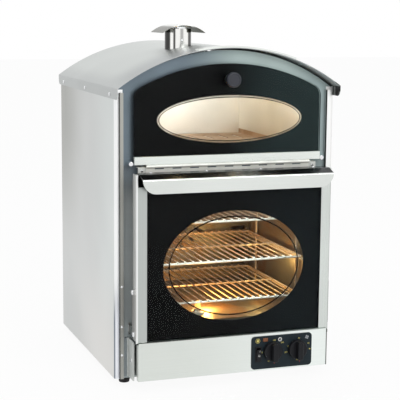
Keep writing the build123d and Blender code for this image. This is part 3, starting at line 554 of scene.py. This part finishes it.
def arched_outline(half, base, shoulder, rise, corner, steps=48):
    """Straight sides, a flat base and a circular arch with rounded shoulders."""
    radius = (half ** 2 + rise ** 2) / (2 * rise)
    centre = shoulder + rise - radius
    fillet_x = half - corner
    fillet_z = centre + sqrt((radius - corner) ** 2 - fillet_x ** 2)
    lean = atan2(fillet_z - centre, fillet_x)
    right = [(fillet_x + corner * cos(lean * i / 8), fillet_z + corner * sin(lean * i / 8)) for i in range(9)]
    top = [(radius * cos(a), centre + radius * sin(a))
           for a in (lean + (pi - 2 * lean) * i / steps for i in range(1, steps))]
    left = [(-x, z) for x, z in reversed(right)]
    return [(-half, base), (half, base)] + right + top + left


# ---- pieces that repeat, made with Geometry Nodes ----
def repeated_piece(name, points, shape, material, body):
    """One copy of a small mesh at every point; the tree's inputs are the shape and the material."""
    tree = bpy.data.node_groups.new(name + "_places", "GeometryNodeTree")
    tree.interface.new_socket("Geometry", in_out="INPUT", socket_type="NodeSocketGeometry")
    tree.interface.new_socket("Shape", in_out="INPUT", socket_type="NodeSocketObject")
    tree.interface.new_socket("Size", in_out="INPUT", socket_type="NodeSocketFloat").default_value = 1.0
    tree.interface.new_socket("Material", in_out="INPUT", socket_type="NodeSocketMaterial")
    tree.interface.new_socket("Geometry", in_out="OUTPUT", socket_type="NodeSocketGeometry")
    make = Maker(tree)
    given = make.add("NodeGroupInput")
    shape_in = make.add("GeometryNodeObjectInfo", {"Object": given.outputs["Shape"]})
    copies = make.add("GeometryNodeInstanceOnPoints",
                      {"Points": given.outputs["Geometry"], "Instance": shape_in.outputs["Geometry"],
                       "Scale": given.outputs["Size"]})
    solid = make.add("GeometryNodeRealizeInstances", {"Geometry": copies.outputs["Instances"]})
    dressed = make.add("GeometryNodeSetMaterial", {"Geometry": solid.outputs["Geometry"],
                                                   "Material": given.outputs["Material"]})
    make.feed(make.add("NodeGroupOutput").inputs["Geometry"], dressed.outputs["Geometry"])

    seeds = bpy.data.meshes.new(name + "_points")
    seeds.from_pydata([Vector(point) for point in points], [], [])
    pattern = bpy.data.objects.new(name + "_shape", shape)
    carrier = bpy.data.objects.new(name + "_carrier", seeds)
    for helper in (pattern, carrier):
        bpy.context.scene.collection.objects.link(helper)
    modifier = carrier.modifiers.new("Places", "NODES")
    modifier.node_group = tree
    sockets = {item.name: item.identifier for item in tree.interface.items_tree if item.in_out == "INPUT"}
    modifier[sockets["Shape"]] = pattern
    modifier[sockets["Size"]] = 1.0
    modifier[sockets["Material"]] = material
    bpy.context.view_layer.update()
    depsgraph = bpy.context.evaluated_depsgraph_get()
    mesh = bpy.data.meshes.new_from_object(carrier.evaluated_get(depsgraph))
    for helper in (pattern, carrier):
        bpy.data.objects.remove(helper)
    return new_piece(name, mesh, material, body, smooth=True)


def turned_shape(name, profile, steps=20):
    """A small turned shape along +Z from its (radius, height) profile."""
    work = bmesh.new()
    rings = []
    for radius, height in profile:
        if radius <= 0.0:
            rings.append([work.verts.new((0.0, 0.0, height))])
            continue
        angles = [2 * pi * i / steps for i in range(steps)]
        rings.append([work.verts.new((radius * cos(a), radius * sin(a), height)) for a in angles])
    for below, above in zip(rings, rings[1:]):
        for i in range(steps):
            j = (i + 1) % steps
            corners = [below[i % len(below)], below[j % len(below)],
                       above[j % len(above)], above[i % len(above)]]
            unique = list(dict.fromkeys(corners))
            if len(unique) > 2:
                work.faces.new(unique)
    bmesh.ops.recalc_face_normals(work, faces=work.faces)
    mesh = bpy.data.meshes.new(name)
    work.to_mesh(mesh)
    work.free()
    return mesh


# ---- operators, one for each group of pieces ----
class OvenOperator:
    bl_options = {"REGISTER", "UNDO"}


class OVEN_OT_shell(OvenOperator, bpy.types.Operator):
    """Brushed sheet of the body, its folds, rivets, screws and feet"""
    bl_idname = "oven.shell"
    bl_label = "Shell"

    def execute(self, context):
        metals = looks().metals
        front = low("side_panel_left").y
        lie_x, lie_y, lie_z = (6.0, 420.0, 420.0), (420.0, 6.0, 420.0), (420.0, 420.0, 5.0)
        upright_lie = (5.0, 420.0, 420.0)
        painted_shadow_line = (0.16, 0.18, 0.16)
        side = brushed_metal("side_sheet", metals.side, 0.34, lie_z, 0.05, 0.05, 0.3, tones=(
            # painted shade towards the back, and painted highlights towards the front and low down at the
            # front
            (Y, front + 0.2, front + 0.42, (0.41, 0.415, 0.394), (Z, 0.15, 0.45)),
            (Y, front + 0.2, front + 0.03, (0.68, 0.71, 0.70)),
            (Z, 0.25, 0.05, (0.70, 0.695, 0.675), (Y, front + 0.4, front + 0.1)),
            # the rounded front bend: painted shade in a dark band low down, and painted highlights in bright
            # bands above and in front of it
            (Y, front + 0.0062, front + 0.0045, (0.20, 0.23, 0.27), (Z, 0.22, 0.12)),
            (Y, front + 0.0055, front + 0.002, (0.97, 0.98, 0.98), (Z, 0.12, 0.22)),
            (Y, front + 0.0028, front + 0.0008, (0.86, 0.88, 0.93), (Z, 0.22, 0.12)),
            # the right front flange: a painted highlight, brighter at the top, and a painted shadow line at
            # its outer edge
            (Y, front + 0.006, front + 0.004, (0.74, 0.79, 0.73), (X, 0.1, 0.15)),
            (Y, front + 0.006, front + 0.004, (0.92, 0.92, 0.91), (X, 0.1, 0.15), (Z, 0.33, 0.45)),
            (X, 0.2232, 0.2242, painted_shadow_line, (Y, front + 0.008, front + 0.005))))
        # painted shade: the roof darkens towards its front edge and lower down its curve, with a painted
        # black shadow at the right end of the front edge; its underside is painted pale and less metallic,
        # painted light in the shade under the overhang
        roof = brushed_metal("roof_sheet_finish", metals.roof, 0.36, lie_y, 0.05, 0.04, 0.3, tones=(
            (Y, -0.08, -0.2, (0.44, 0.46, 0.46)), (Z, 0.60, 0.575, (0.50, 0.52, 0.515)),
            (X, 0.212, 0.216, (0.010, 0.010, 0.010), (Y, -0.19, -0.2))), under=(0.55, 0.60, 0.59))
        # painted light and shade on the vent cap: a pale left wing and a dark right wing
        cap = brushed_metal("cap_finish", (0.28, 0.28, 0.262), 0.36, lie_x, 0.05, 0.04, 0.1, tones=(
            (X, -0.082, -0.07, (0.85, 0.86, 0.84)), (X, -0.04, -0.028, (0.10, 0.10, 0.075))))
        # painted reflection: paler from the middle to the right, a little darker at the far right, and a
        # painted highlight on whatever stands forward of the side panels' front
        fascia = brushed_metal("arched_fascia_finish", metals.fascia, 0.42, lie_x, 0.06, 0.08, 0.1, tones=(
            (X, -0.10, 0.05, (0.39, 0.47, 0.455)), (X, 0.12, 0.20, (0.30, 0.37, 0.37)),
            (Y, front - 0.001, front - 0.003, (0.74, 0.76, 0.73))))
        # painted shade and highlight: a dark line along the left strip's outer edge and the right strip's
        # inner edge, the rest of the right strip painted bright, brighter at the top
        strip = brushed_metal("corner_strip_finish", (0.42, 0.42, 0.39), 0.4, lie_z, tones=(
            (X, -0.2147, -0.2151, (0.05, 0.055, 0.05)), (X, 0.0, 0.1, (0.05, 0.055, 0.05)),
            (X, 0.2088, 0.2092, (0.70, 0.75, 0.69)),
            (X, 0.2088, 0.2092, (0.9, 0.91, 0.9), (Z, 0.33, 0.45))))
        bright = brushed_metal("bright_sheet", metals.front, 0.3, upright_lie)
        bracket = brushed_metal("bracket_sheet", metals.front, 0.3, upright_lie, metallic=0.2, tones=[
            (X, end * 0.1995, end * 0.2005, (0.30, 0.34, 0.36)) for end in (-1, 1)])
        polished = brushed_metal("polished_steel", metals.polished, 0.08, (80.0, 80.0, 80.0),
                                 0.02, 0.03, 0.03)
        plain = brushed_metal("plain_sheet", (0.52, 0.52, 0.50), 0.45, (30.0, 30.0, 300.0), 0.08, 0.1, 0.08)
        # painted light and shade: the sheet is painted pale and barely metallic to lift the shade under the
        # display door, painted darker towards the top (less so on the right), with painted highlights on the
        # hinge rail's tabs at both ends
        low_fascia = brushed_metal("lower_fascia_finish", (0.50, 0.56, 0.57), 0.5, lie_x, 0.06, 0.08, 0.1,
                                   metallic=0.2, tones=[
            (Z, 0.34, 0.42, (0.17, 0.21, 0.24)), (Z, 0.34, 0.42, (0.31, 0.38, 0.38), (X, 0.1, 0.15))] + [
            (Y, front - 0.001, front - 0.003, (0.78, 0.80, 0.76), (X, end * 0.166, end * 0.168))
            for end in (-1, 1)])
        finish_node(side, "side_panel_left", "side_panel_right")
        finish_node(roof, "roof_sheet")
        finish_node(cap, "vent_cap")
        finish_node(fascia, "arch_fascia")
        finish_node(low_fascia, "lower_fascia")
        finish_node(strip, "corner_strips")
        finish_node(bright, "roof_edge_strip")
        finish_node(bracket, "side_brackets")
        finish_node(polished, "shell_rivets", "shell_screws", "cap_strap")
        # the vent tube carries painted reflections in upright bands
        finish_node(tube_with_painted_reflections("tube_with_painted_reflections", middle("vent_tube")), "vent_tube")
        finish_node(plain, "back_panel", "base_pan", "control_chassis")
        finish_node(moulded("foot_rubber", (0.012, 0.012, 0.012), 0.75, 0.0012), "rubber_feet")
        finish_node(moulded("gland_plastic", (0.02, 0.02, 0.02), 0.45), "cable_gland")
        return {"FINISHED"}


class OVEN_OT_display_door(OvenOperator, bpy.types.Operator):
    """Arched glass door with its print, trim, knob and hinge"""
    bl_idname = "oven.display_door"
    bl_label = "Display door"

    def execute(self, context):
        metals, glass = looks().metals, looks().glass
        trim = brushed_metal("trim_bar", metals.trim, 0.24, (4.0, 500.0, 500.0), 0.04, 0.03)
        # painted light: the hinge is near-white and barely metallic, standing in for light on a part that
        # lies in the shade of the trim bar above
        hinge = brushed_metal("hinge_steel", (0.96, 0.97, 0.91), 0.4, (20.0, 300.0, 300.0), 0.06, 0.1, 0.03,
                              metallic=0.3)
        finish_node(toughened_glass("display_glass", glass.tint), "upper_glass")
        finish_node(trim, "upper_trim")
        finish_node(hinge, "hinge_leaf_fixed", "hinge_leaf_door", "hinge_pin", "knob_screw")
        finish_node(moulded("knob_plastic", (0.022, 0.025, 0.036), 0.4, 0.0005), "upper_knob")

        pane_low, pane_high = low("upper_glass"), high("upper_glass")
        print_y = pane_high.y + 0.00009
        window = (0.0035, 0.5125)
        wide, tall = glass.upper_half_width, glass.upper_half_height
        knob = middle("upper_knob")
        edge = 0.0006
        outline = arched_outline(pane_high.x - edge, pane_low.z + 0.0142, 0.5688 - edge, 0.0502, 0.0235)
        knob_hole = oval((knob.x, knob.z), 0.0094, 0.0094, 32)
        print_mesh = flat_plate([outline, oval(window, wide, tall), knob_hole], print_y, FILM_THICKNESS)
        # painted reflection: the ink turns lighter and bluer towards the right, more so near the top of the
        # display door
        ink = printed_film("door_print_with_painted_sheen", glass.ink, tones=(
            (X, -0.02, 0.12, (0.006, 0.0085, 0.0105)),
            (X, -0.02, 0.12, (0.018, 0.028, 0.030), (Z, 0.42, 0.45))))
        new_piece("display_door_print", print_mesh, ink, "upper_door")
        ring = glass.upper_band
        rim = 0.0007
        tinted = printed_film("print_tint", (0.09, 0.075, 0.06), alpha=0.2)
        rims = (("display_window_edge", printed_film("print_edge", glass.line), 0.0, rim),
                ("display_window_tint", tinted, rim, ring),
                ("display_window_line", ink, ring, ring + 0.0017))
        for name, film, outer, inner in rims:
            mesh = oval_ring(window, wide, tall, outer, inner, print_y)
            new_piece(name, mesh, film, "upper_door")
        return {"FINISHED"}


class OVEN_OT_oven_door(OvenOperator, bpy.types.Operator):
    """Drop-down oven door: frame, glass with its print, handle and hinge plates"""
    bl_idname = "oven.oven_door"
    bl_label = "Oven door"

    def execute(self, context):
        metals, glass = looks().metals, looks().glass
        profile = brushed_metal("door_profile", metals.frame, 0.26, (420.0, 420.0, 5.0), 0.05, 0.06, tones=(
            # painted light: brighter towards the right, a painted highlight along the left edge and painted
            # shade along the right edge
            (X, -0.1, 0.15, (0.67, 0.71, 0.68)),
            (X, -0.1945, -0.1955, (0.95, 0.96, 0.95)), (X, 0.1958, 0.1966, (0.16, 0.18, 0.16)),
            # painted shadow on the left end under the handle's canopy
            (Z, 0.3925, 0.3945, (0.008, 0.008, 0.008), (X, -0.1948, -0.1940), (X, -0.172, -0.176))))
        # painted shade: the handle's top above its fold is painted near-black, standing in for shade and the
        # dark glass reflected there
        fold = high("door_handle").z - 0.0062
        handle = brushed_metal("handle_sheet", metals.front, 0.2, (5.0, 420.0, 420.0), 0.05, 0.04, tones=(
            (Z, fold - 0.002, fold, (0.026, 0.029, 0.030)),))
        plate = brushed_metal("hinge_plate_finish", (0.5, 0.5, 0.48), 0.3, (300.0, 300.0, 10.0), 0.06)
        inner = brushed_metal("inner_door_sheet", metals.oven, 0.42, (300.0, 300.0, 10.0), 0.08, 0.1)
        finish_node(profile, "door_frame")
        finish_node(handle, "door_handle")
        finish_node(plate, "hinge_plates", "hinge_arms")
        finish_node(brushed_metal("pin_steel", metals.polished, 0.2, (80.0, 80.0, 80.0)), "door_pins",
                    "handle_screws")
        finish_node(inner, "door_inner_tray")
        finish_node(toughened_glass("oven_glass", glass.tint), "door_outer_glass", "door_inner_glass")

        pane_low, pane_high = low("door_outer_glass"), high("door_outer_glass")
        print_y = pane_high.y + 0.00008
        window = (-0.0004, 0.2337)
        wide, tall = glass.lower_half_width, glass.lower_half_height
        edge = 0.001
        outline = rectangle(pane_low.x + edge, pane_high.x - edge, pane_low.z + edge, pane_high.z - edge)
        # the same print, with its painted reflection towards the right
        ink = bpy.data.materials["door_print_with_painted_sheen"]
        print_mesh = flat_plate([outline, oval(window, wide, tall)], print_y, FILM_THICKNESS)
        new_piece("oven_door_print", print_mesh, ink, "lower_door")
        band, line = glass.band, 0.0026
        tinted = printed_film("tinted_band", (0.11, 0.085, 0.065), alpha=0.2)
        for name, film, outer, inner in (("oven_window_band", tinted, 0.0, band),
                                         ("oven_window_line", ink, band, band + line)):
            mesh = oval_ring(window, wide, tall, outer, inner, print_y)
            new_piece(name, mesh, film, "lower_door")
        return {"FINISHED"}


class OVEN_OT_oven_inside(OvenOperator, bpy.types.Operator):
    """Heat-stained oven lining, racks with their welds, fan, heater and seal"""
    bl_idname = "oven.oven_inside"
    bl_label = "Oven inside"

    def execute(self, context):
        metals = looks().metals
        lining = heated_metal("oven_lining", metals.oven, 0.4, 0.6)
        # painted shade: the wire behind the front bar is painted darker and browner inside the oven
        wire = heated_metal("rack_wire", (0.95, 0.95, 0.92), 0.3, 0.2, metallic=0.3, tones=(
            (Y, -0.1785, -0.174, (0.36, 0.28, 0.21)),))
        finish_node(lining, "oven_liner", "fan_baffle", "mouth_frame")
        finish_node(wire, "rack_bottom", "rack_middle", "rack_top", "rack_ladders")
        finish_node(heated_metal("heater_sheath", (0.10, 0.085, 0.075), 0.5, 0.5), "ring_element")
        finish_node(heated_metal("fan_sheet", (0.5, 0.5, 0.48), 0.35, 0.2), "fan_wheel")
        finish_node(moulded("motor_paint", (0.05, 0.05, 0.055), 0.5), "fan_motor")
        finish_node(moulded("seal_rubber", (0.016, 0.015, 0.014), 0.7, 0.001), "oven_seal", "display_seal")
        finish_node(fibre_wool("mineral_wool", (0.52, 0.47, 0.30)), "insulation_blanket")

        bead = turned_shape("weld_bead", ((0.0, 0.0032), (0.0012, 0.0027), (0.0022, 0.0), (0.0, -0.0006)), 8)
        pitch, frame_wire = 0.016, 0.0022
        places = []
        for rack in ("rack_bottom", "rack_middle", "rack_top"):
            lowest, highest = low(rack), high(rack)
            wire_z = lowest.z + frame_wire
            for y, side in ((lowest.y + frame_wire, -1), (highest.y - frame_wire, 1)):
                places += [(i * pitch, y + side * 0.0014, wire_z + 0.0016) for i in range(-9, 10)]
        repeated_piece("rack_weld_beads", places, bead, wire, "cabinet")
        return {"FINISHED"}


class OVEN_OT_display_inside(OvenOperator, bpy.types.Operator):
    """Lit display chamber with its lining, floor and lamps"""
    bl_idname = "oven.display_inside"
    bl_label = "Display inside"

    def execute(self, context):
        metals = looks().metals
        lining = brushed_metal("display_lining", metals.display, 0.38, (60.0, 8.0, 60.0), 0.06, 0.08)
        floor = heated_metal("display_floor_sheet", (0.50, 0.36, 0.25), 0.5, 0.4)
        finish_node(lining, "display_liner")
        finish_node(floor, "display_floor")
        finish_node(moulded("holder_ceramic", (0.72, 0.69, 0.62), 0.5, 0.0008), "lampholders")
        finish_node(glowing("lit_lamp", (1.0, 0.72, 0.38), 9.0), "lamp_bulbs")
        finish_node(moulded("magnet", (0.08, 0.08, 0.08), 0.4), "catch_magnet")
        return {"FINISHED"}


def printed_text(entries, height, y):
    """One mesh of flat numbers standing on a front face; entries are (text, x, z)."""
    work = bmesh.new()
    for text, x, z in entries:
        letters = bpy.data.curves.new("letters", "FONT")
        letters.body = text
        letters.size = height
        letters.align_x = "CENTER"
        letters.align_y = "CENTER"
        letters.extrude = 0.00002
        letters.resolution_u = 3
        work.from_mesh(upright(to_mesh(letters), x, y, z))
    mesh = bpy.data.meshes.new("text")
    work.to_mesh(mesh)
    work.free()
    return mesh


def lay_on(mesh, node, lift):
    """Drops a flat upright mesh onto a CAD face in front of it, vertex by vertex."""
    target = NODES[node]
    front = min(vertex.co.y for vertex in mesh.vertices)
    for vertex in mesh.vertices:
        start = Vector((vertex.co.x, -1.0, vertex.co.z))
        hit, place, _, _ = target.ray_cast(start, Vector((0.0, 1.0, 0.0)))
        if hit:
            vertex.co.y = place.y - lift + (vertex.co.y - front)
    return mesh


class OVEN_OT_controls(OvenOperator, bpy.types.Operator):
    """Bright front panel with its black plate, dials, numbers, switch and lamp"""
    bl_idname = "oven.controls"
    bl_label = "Controls"

    def execute(self, context):
        controls = looks().controls
        # painted light: brighter towards the right, with painted shade on the right-hand edge
        panel = brushed_metal("panel_sheet", (0.72, 0.755, 0.715), 0.3, (5.0, 420.0, 420.0), 0.04, 0.04, 0.2,
                              tones=((X, -0.1, 0.15, (0.88, 0.93, 0.90)),
                                     (X, 0.1918, 0.1926, (0.10, 0.11, 0.10))))
        finish_node(panel, "control_panel")
        black = moulded("control_black", controls.black, 0.38, 0.0006)
        plate = moulded("plate_film", (0.011, 0.020, 0.026), 0.5, 0.001, bump=0.1)
        for material, gloss in ((black, 0.18), (plate, 0.2)):
            shader = material.node_tree.nodes["Principled BSDF"]
            shader.inputs["Specular IOR Level"].default_value = gloss
        finish_node(plate, "control_plate")
        finish_node(black, "thermostat_knob", "timer_knob", "rocker_bezel", "rocker_button", "switch_bodies")
        finish_node(moulded("amber_lens", (0.22, 0.075, 0.025), 0.4, 0.002), "pilot_lamp")

        face = low("control_plate").y - 0.00003
        numbers = moulded("number_print", controls.numbers, 0.5, 0.0008, bump=0.05)
        white = moulded("white_print", (0.75, 0.75, 0.72), 0.5, 0.0008, bump=0.05)
        red = moulded("red_print", controls.marks, 0.5, 0.0008, bump=0.05)
        dials = (("thermostat_knob", ("50", -6.9, -20.0), ("100", -22.6, -1.4), ("150", 4.2, 21.2),
                  ("200", 21.3, 15.2), ("250", 29.7, -5.4), ("0", 5.2, -24.7)),
                 ("timer_knob", ("15", 0.3, -22.2), ("30", -18.0, 6.5), ("45", 4.2, 21.1), ("60", 25.1, 9.4),
                  ("90", 28.1, -2.7), ("0", 6.2, -25.4)))
        entries = [(label, middle(knob).x + x * MM, middle(knob).z + z * MM)
                   for knob, *labels in dials for label, x, z in labels]
        for name, film, wanted in (("dial_numbers", numbers, [e for e in entries if e[0] != "0"]),
                                   ("dial_starts", red, [e for e in entries if e[0] == "0"])):
            new_piece(name, printed_text(wanted, controls.number_height, face), film, "cabinet")

        icon_z = middle("pilot_lamp").z - 0.0014
        lamp, clock, fan = (0.0463, icon_z), (0.093, icon_z), (0.1504, icon_z)
        bar_width = 0.0006
        lamp_shapes = [[oval(lamp, 0.0021, 0.0021, 24)], ring_outlines(lamp, 0.0047, 0.0042)]
        lamp_shapes += [[rotated_bar(lamp, radians(45 * i), 0.0026, 0.0036, bar_width)] for i in range(8)]
        clock_shapes = [ring_outlines(clock, 0.0041, 0.0026),
                        [rotated_bar(clock, 0.0, 0.0, 0.0021, bar_width)],
                        [rotated_bar(clock, radians(100), 0.0, 0.0017, bar_width)]]
        blade_angles = [radians(90 * i + 20) for i in range(4)]
        fan_shapes = [[oval((fan[0] + 0.0024 * cos(a), fan[1] + 0.0024 * sin(a)), 0.0018, 0.0018, 16)]
                      for a in blade_angles]
        grey = moulded("grey_print", (0.32, 0.34, 0.36), 0.5, 0.0008, bump=0.05)
        for name, shapes, film in (("lamp_symbol", lamp_shapes, numbers),
                                   ("clock_symbol", clock_shapes, white),
                                   ("fan_symbol", fan_shapes, grey)):
            mesh = joined([flat_plate(outlines, face, MARK_THICKNESS) for outlines in shapes])
            new_piece(name, mesh, film, "cabinet")

        marks = printed_text((("I", 0.0488, 0.0626), ("O", 0.0483, 0.0532)), 0.0058, -0.3)
        marks = lay_on(marks, "rocker_button", MARK_THICKNESS)
        new_piece("rocker_marks", marks, white, "rocker_button")
        return {"FINISHED"}


def ring_outlines(centre, outer, inner):
    return [oval(centre, radius, radius, 32) for radius in (outer, inner)]


def rotated_bar(centre, angle, start, end, width):
    """Outline of a thin bar that points away from a centre at an angle from straight up."""
    along = Vector((sin(angle), cos(angle)))
    across = Vector((along.y, -along.x)) * width / 2
    origin = Vector(centre)
    corners = (origin + along * start - across, origin + along * end - across,
               origin + along * end + across, origin + along * start + across)
    return [tuple(corner) for corner in corners]


def joined(meshes):
    """One mesh of several."""
    work = bmesh.new()
    for mesh in meshes:
        work.from_mesh(mesh)
    result = bpy.data.meshes.new("joined")
    work.to_mesh(result)
    work.free()
    return result


# ---- camera, floor and lamps ----
CAMERA_PLACE = Vector((-0.8246, -2.3996, 0.7261))
CAMERA_YAW = radians(19.233)
CAMERA_PITCH = radians(8.993)
CAMERA_ROLL = radians(0.468)
CAMERA_LENS = 110.34


def place_camera():
    level = cos(CAMERA_PITCH)
    ahead = Vector((sin(CAMERA_YAW) * level, cos(CAMERA_YAW) * level, -sin(CAMERA_PITCH)))
    right = Vector((cos(CAMERA_YAW), -sin(CAMERA_YAW), 0.0))
    up = right.cross(ahead)
    camera_x = right * cos(CAMERA_ROLL) + up * sin(CAMERA_ROLL)
    camera_y = up * cos(CAMERA_ROLL) - right * sin(CAMERA_ROLL)
    turn = Matrix((camera_x, camera_y, -ahead)).transposed().to_4x4()
    data = bpy.data.cameras.new("camera")
    data.lens = CAMERA_LENS
    data.sensor_width = 36.0
    data.clip_end = 100.0
    camera = bpy.data.objects.new("camera", data)
    camera.matrix_world = Matrix.Translation(CAMERA_PLACE) @ turn
    bpy.context.scene.collection.objects.link(camera)
    bpy.context.scene.camera = camera


def seen_directly(make):
    """1 on rays that the camera, a gloss or clear glass sends out, and 0 on the rest."""
    path = make.add("ShaderNodeLightPath").outputs
    mirrored = make.math("MAXIMUM", path["Is Glossy Ray"], path["Is Transmission Ray"])
    return make.math("MAXIMUM", path["Is Camera Ray"], mirrored)


def white_world(strength):
    """A plain room light, with a white background behind the oven."""
    world = bpy.data.worlds.new("soft_room")
    world.use_nodes = True
    make = Maker(world.node_tree)
    background = world.node_tree.nodes["Background"]
    background.inputs["Color"].default_value = (1.0, 1.0, 1.0, 1.0)
    make.feed(background.inputs["Strength"],
              make.math("MULTIPLY_ADD", seen_directly(make), 1.0 - strength, strength))
    bpy.context.scene.world = world


def white_floor():
    """A wide pale floor that reads as white and keeps a soft shadow."""
    material = bpy.data.materials.new("pale_floor")
    material.use_nodes = True
    make = Maker(material.node_tree)
    shader = material.node_tree.nodes["Principled BSDF"]
    shader.inputs["Base Color"].default_value = (0.86, 0.86, 0.86, 1.0)
    shader.inputs["Roughness"].default_value = 0.9
    glow = make.add("ShaderNodeEmission", {"Color": (1.0, 1.0, 1.0, 1.0), "Strength": 1.0})
    share = make.math("MULTIPLY", seen_directly(make), 0.93)
    both = make.add("ShaderNodeMixShader")
    make.feed(both.inputs[0], share)
    make.feed(both.inputs[1], shader.outputs[0])
    make.feed(both.inputs[2], glow.outputs[0])
    make.feed(material.node_tree.nodes["Material Output"].inputs["Surface"], both.outputs[0])
    reach = 14.0
    mesh = bpy.data.meshes.new("floor")
    mesh.from_pydata([(-reach, -reach, 0.0), (reach, -reach, 0.0), (reach, reach, 0.0), (-reach, reach, 0.0)],
                     [], [(0, 1, 2, 3)])
    mesh.materials.append(material)
    floor = bpy.data.objects.new("floor", mesh)
    bpy.context.scene.collection.objects.link(floor)


def soft_lamp(name, place, target, width, height, power):
    """A white rectangular lamp that points at its target."""
    data = bpy.data.lights.new(name, "AREA")
    data.shape = "RECTANGLE"
    data.size = width
    data.size_y = height
    data.energy = power
    lamp = bpy.data.objects.new(name, data)
    aim = Vector(target) - Vector(place)
    lamp.matrix_world = Matrix.Translation(place) @ aim.to_track_quat("-Z", "Y").to_matrix().to_4x4()
    bpy.context.scene.collection.objects.link(lamp)
    return lamp


def small_lamp(name, place, power, radius, tint):
    """A small round lamp that neither the camera nor clear glass shows."""
    data = bpy.data.lights.new(name, "POINT")
    data.energy = power
    data.color = tint
    data.shadow_soft_size = radius
    lamp = bpy.data.objects.new(name, data)
    lamp.location = place
    lamp.visible_camera = False
    lamp.visible_transmission = False
    bpy.context.scene.collection.objects.link(lamp)


WARM = (1.0, 0.70, 0.26)
AMBER = (1.0, 0.48, 0.12)
PALE = (0.95, 0.97, 1.0)


class OVEN_OT_stage(OvenOperator, bpy.types.Operator):
    """Floor, soft light from all round, lamps and the camera"""
    bl_idname = "oven.stage"
    bl_label = "Stage"

    def execute(self, context):
        stage = looks().stage
        context.scene.view_settings.view_transform = "Standard"
        white_world(stage.world)
        white_floor()
        centre = (0.0, 0.0, 0.35)
        soft_lamp("key_lamp", (0.9, -3.0, 2.0), centre, 1.4, 1.4, stage.key)
        soft_lamp("top_lamp", (-0.4, 0.0, 3.0), centre, 2.0, 2.0, stage.top)
        small_lamp("oven_light", (-0.02, -0.135, 0.137), stage.oven_glow, 0.006, AMBER)
        small_lamp("oven_back_light", (0.03, 0.09, 0.29), stage.back_glow, 0.01, AMBER)
        small_lamp("oven_side_light", (0.12, -0.06, 0.20), stage.back_glow * 0.6, 0.01, WARM)
        strip = soft_lamp("rack_strip", (0.0, -0.205, 0.38), (0.0, -0.178, 0.2), 0.28, 0.006,
                          stage.rack_light)
        strip.visible_camera = False
        strip.visible_glossy = False
        small_lamp("display_light_left", (-0.12, -0.10, 0.54), stage.display_glow * 1.1, 0.008, WARM)
        small_lamp("display_light_right", (0.08, -0.13, 0.556), stage.display_glow * 2.0, 0.008, PALE)
        place_camera()
        return {"FINISHED"}


class OVEN_PT_pieces(bpy.types.Panel):
    bl_idname = "OVEN_PT_pieces"
    bl_label = "Potato Oven"
    bl_space_type = "VIEW_3D"
    bl_region_type = "UI"
    bl_category = "Potato Oven"

    def draw(self, context):
        layout = self.layout
        for operator in OPERATORS:
            layout.operator(operator.bl_idname)
        for group in (looks().metals, looks().glass, looks().controls, looks().stage):
            box = layout.box()
            for name in group.bl_rna.properties.keys():
                if name not in ("rna_type", "name"):
                    box.prop(group, name)


OPERATORS = (OVEN_OT_shell, OVEN_OT_display_door, OVEN_OT_oven_door, OVEN_OT_oven_inside,
             OVEN_OT_display_inside, OVEN_OT_controls, OVEN_OT_stage)
CLASSES = (OvenMetals, OvenGlass, OvenControls, OvenStage, OvenLooks) + OPERATORS + (OVEN_PT_pieces,)


def register():
    for item in CLASSES:
        bpy.utils.register_class(item)
    bpy.types.Scene.oven_looks = PointerProperty(type=OvenLooks)


def unregister():
    del bpy.types.Scene.oven_looks
    for item in reversed(CLASSES):
        bpy.utils.unregister_class(item)


def main():
    register()
    shared_groups()
    for operator in OPERATORS:
        group, name = operator.bl_idname.split(".")
        getattr(getattr(bpy.ops, group), name)()


if __name__ == "__main__":
    main()
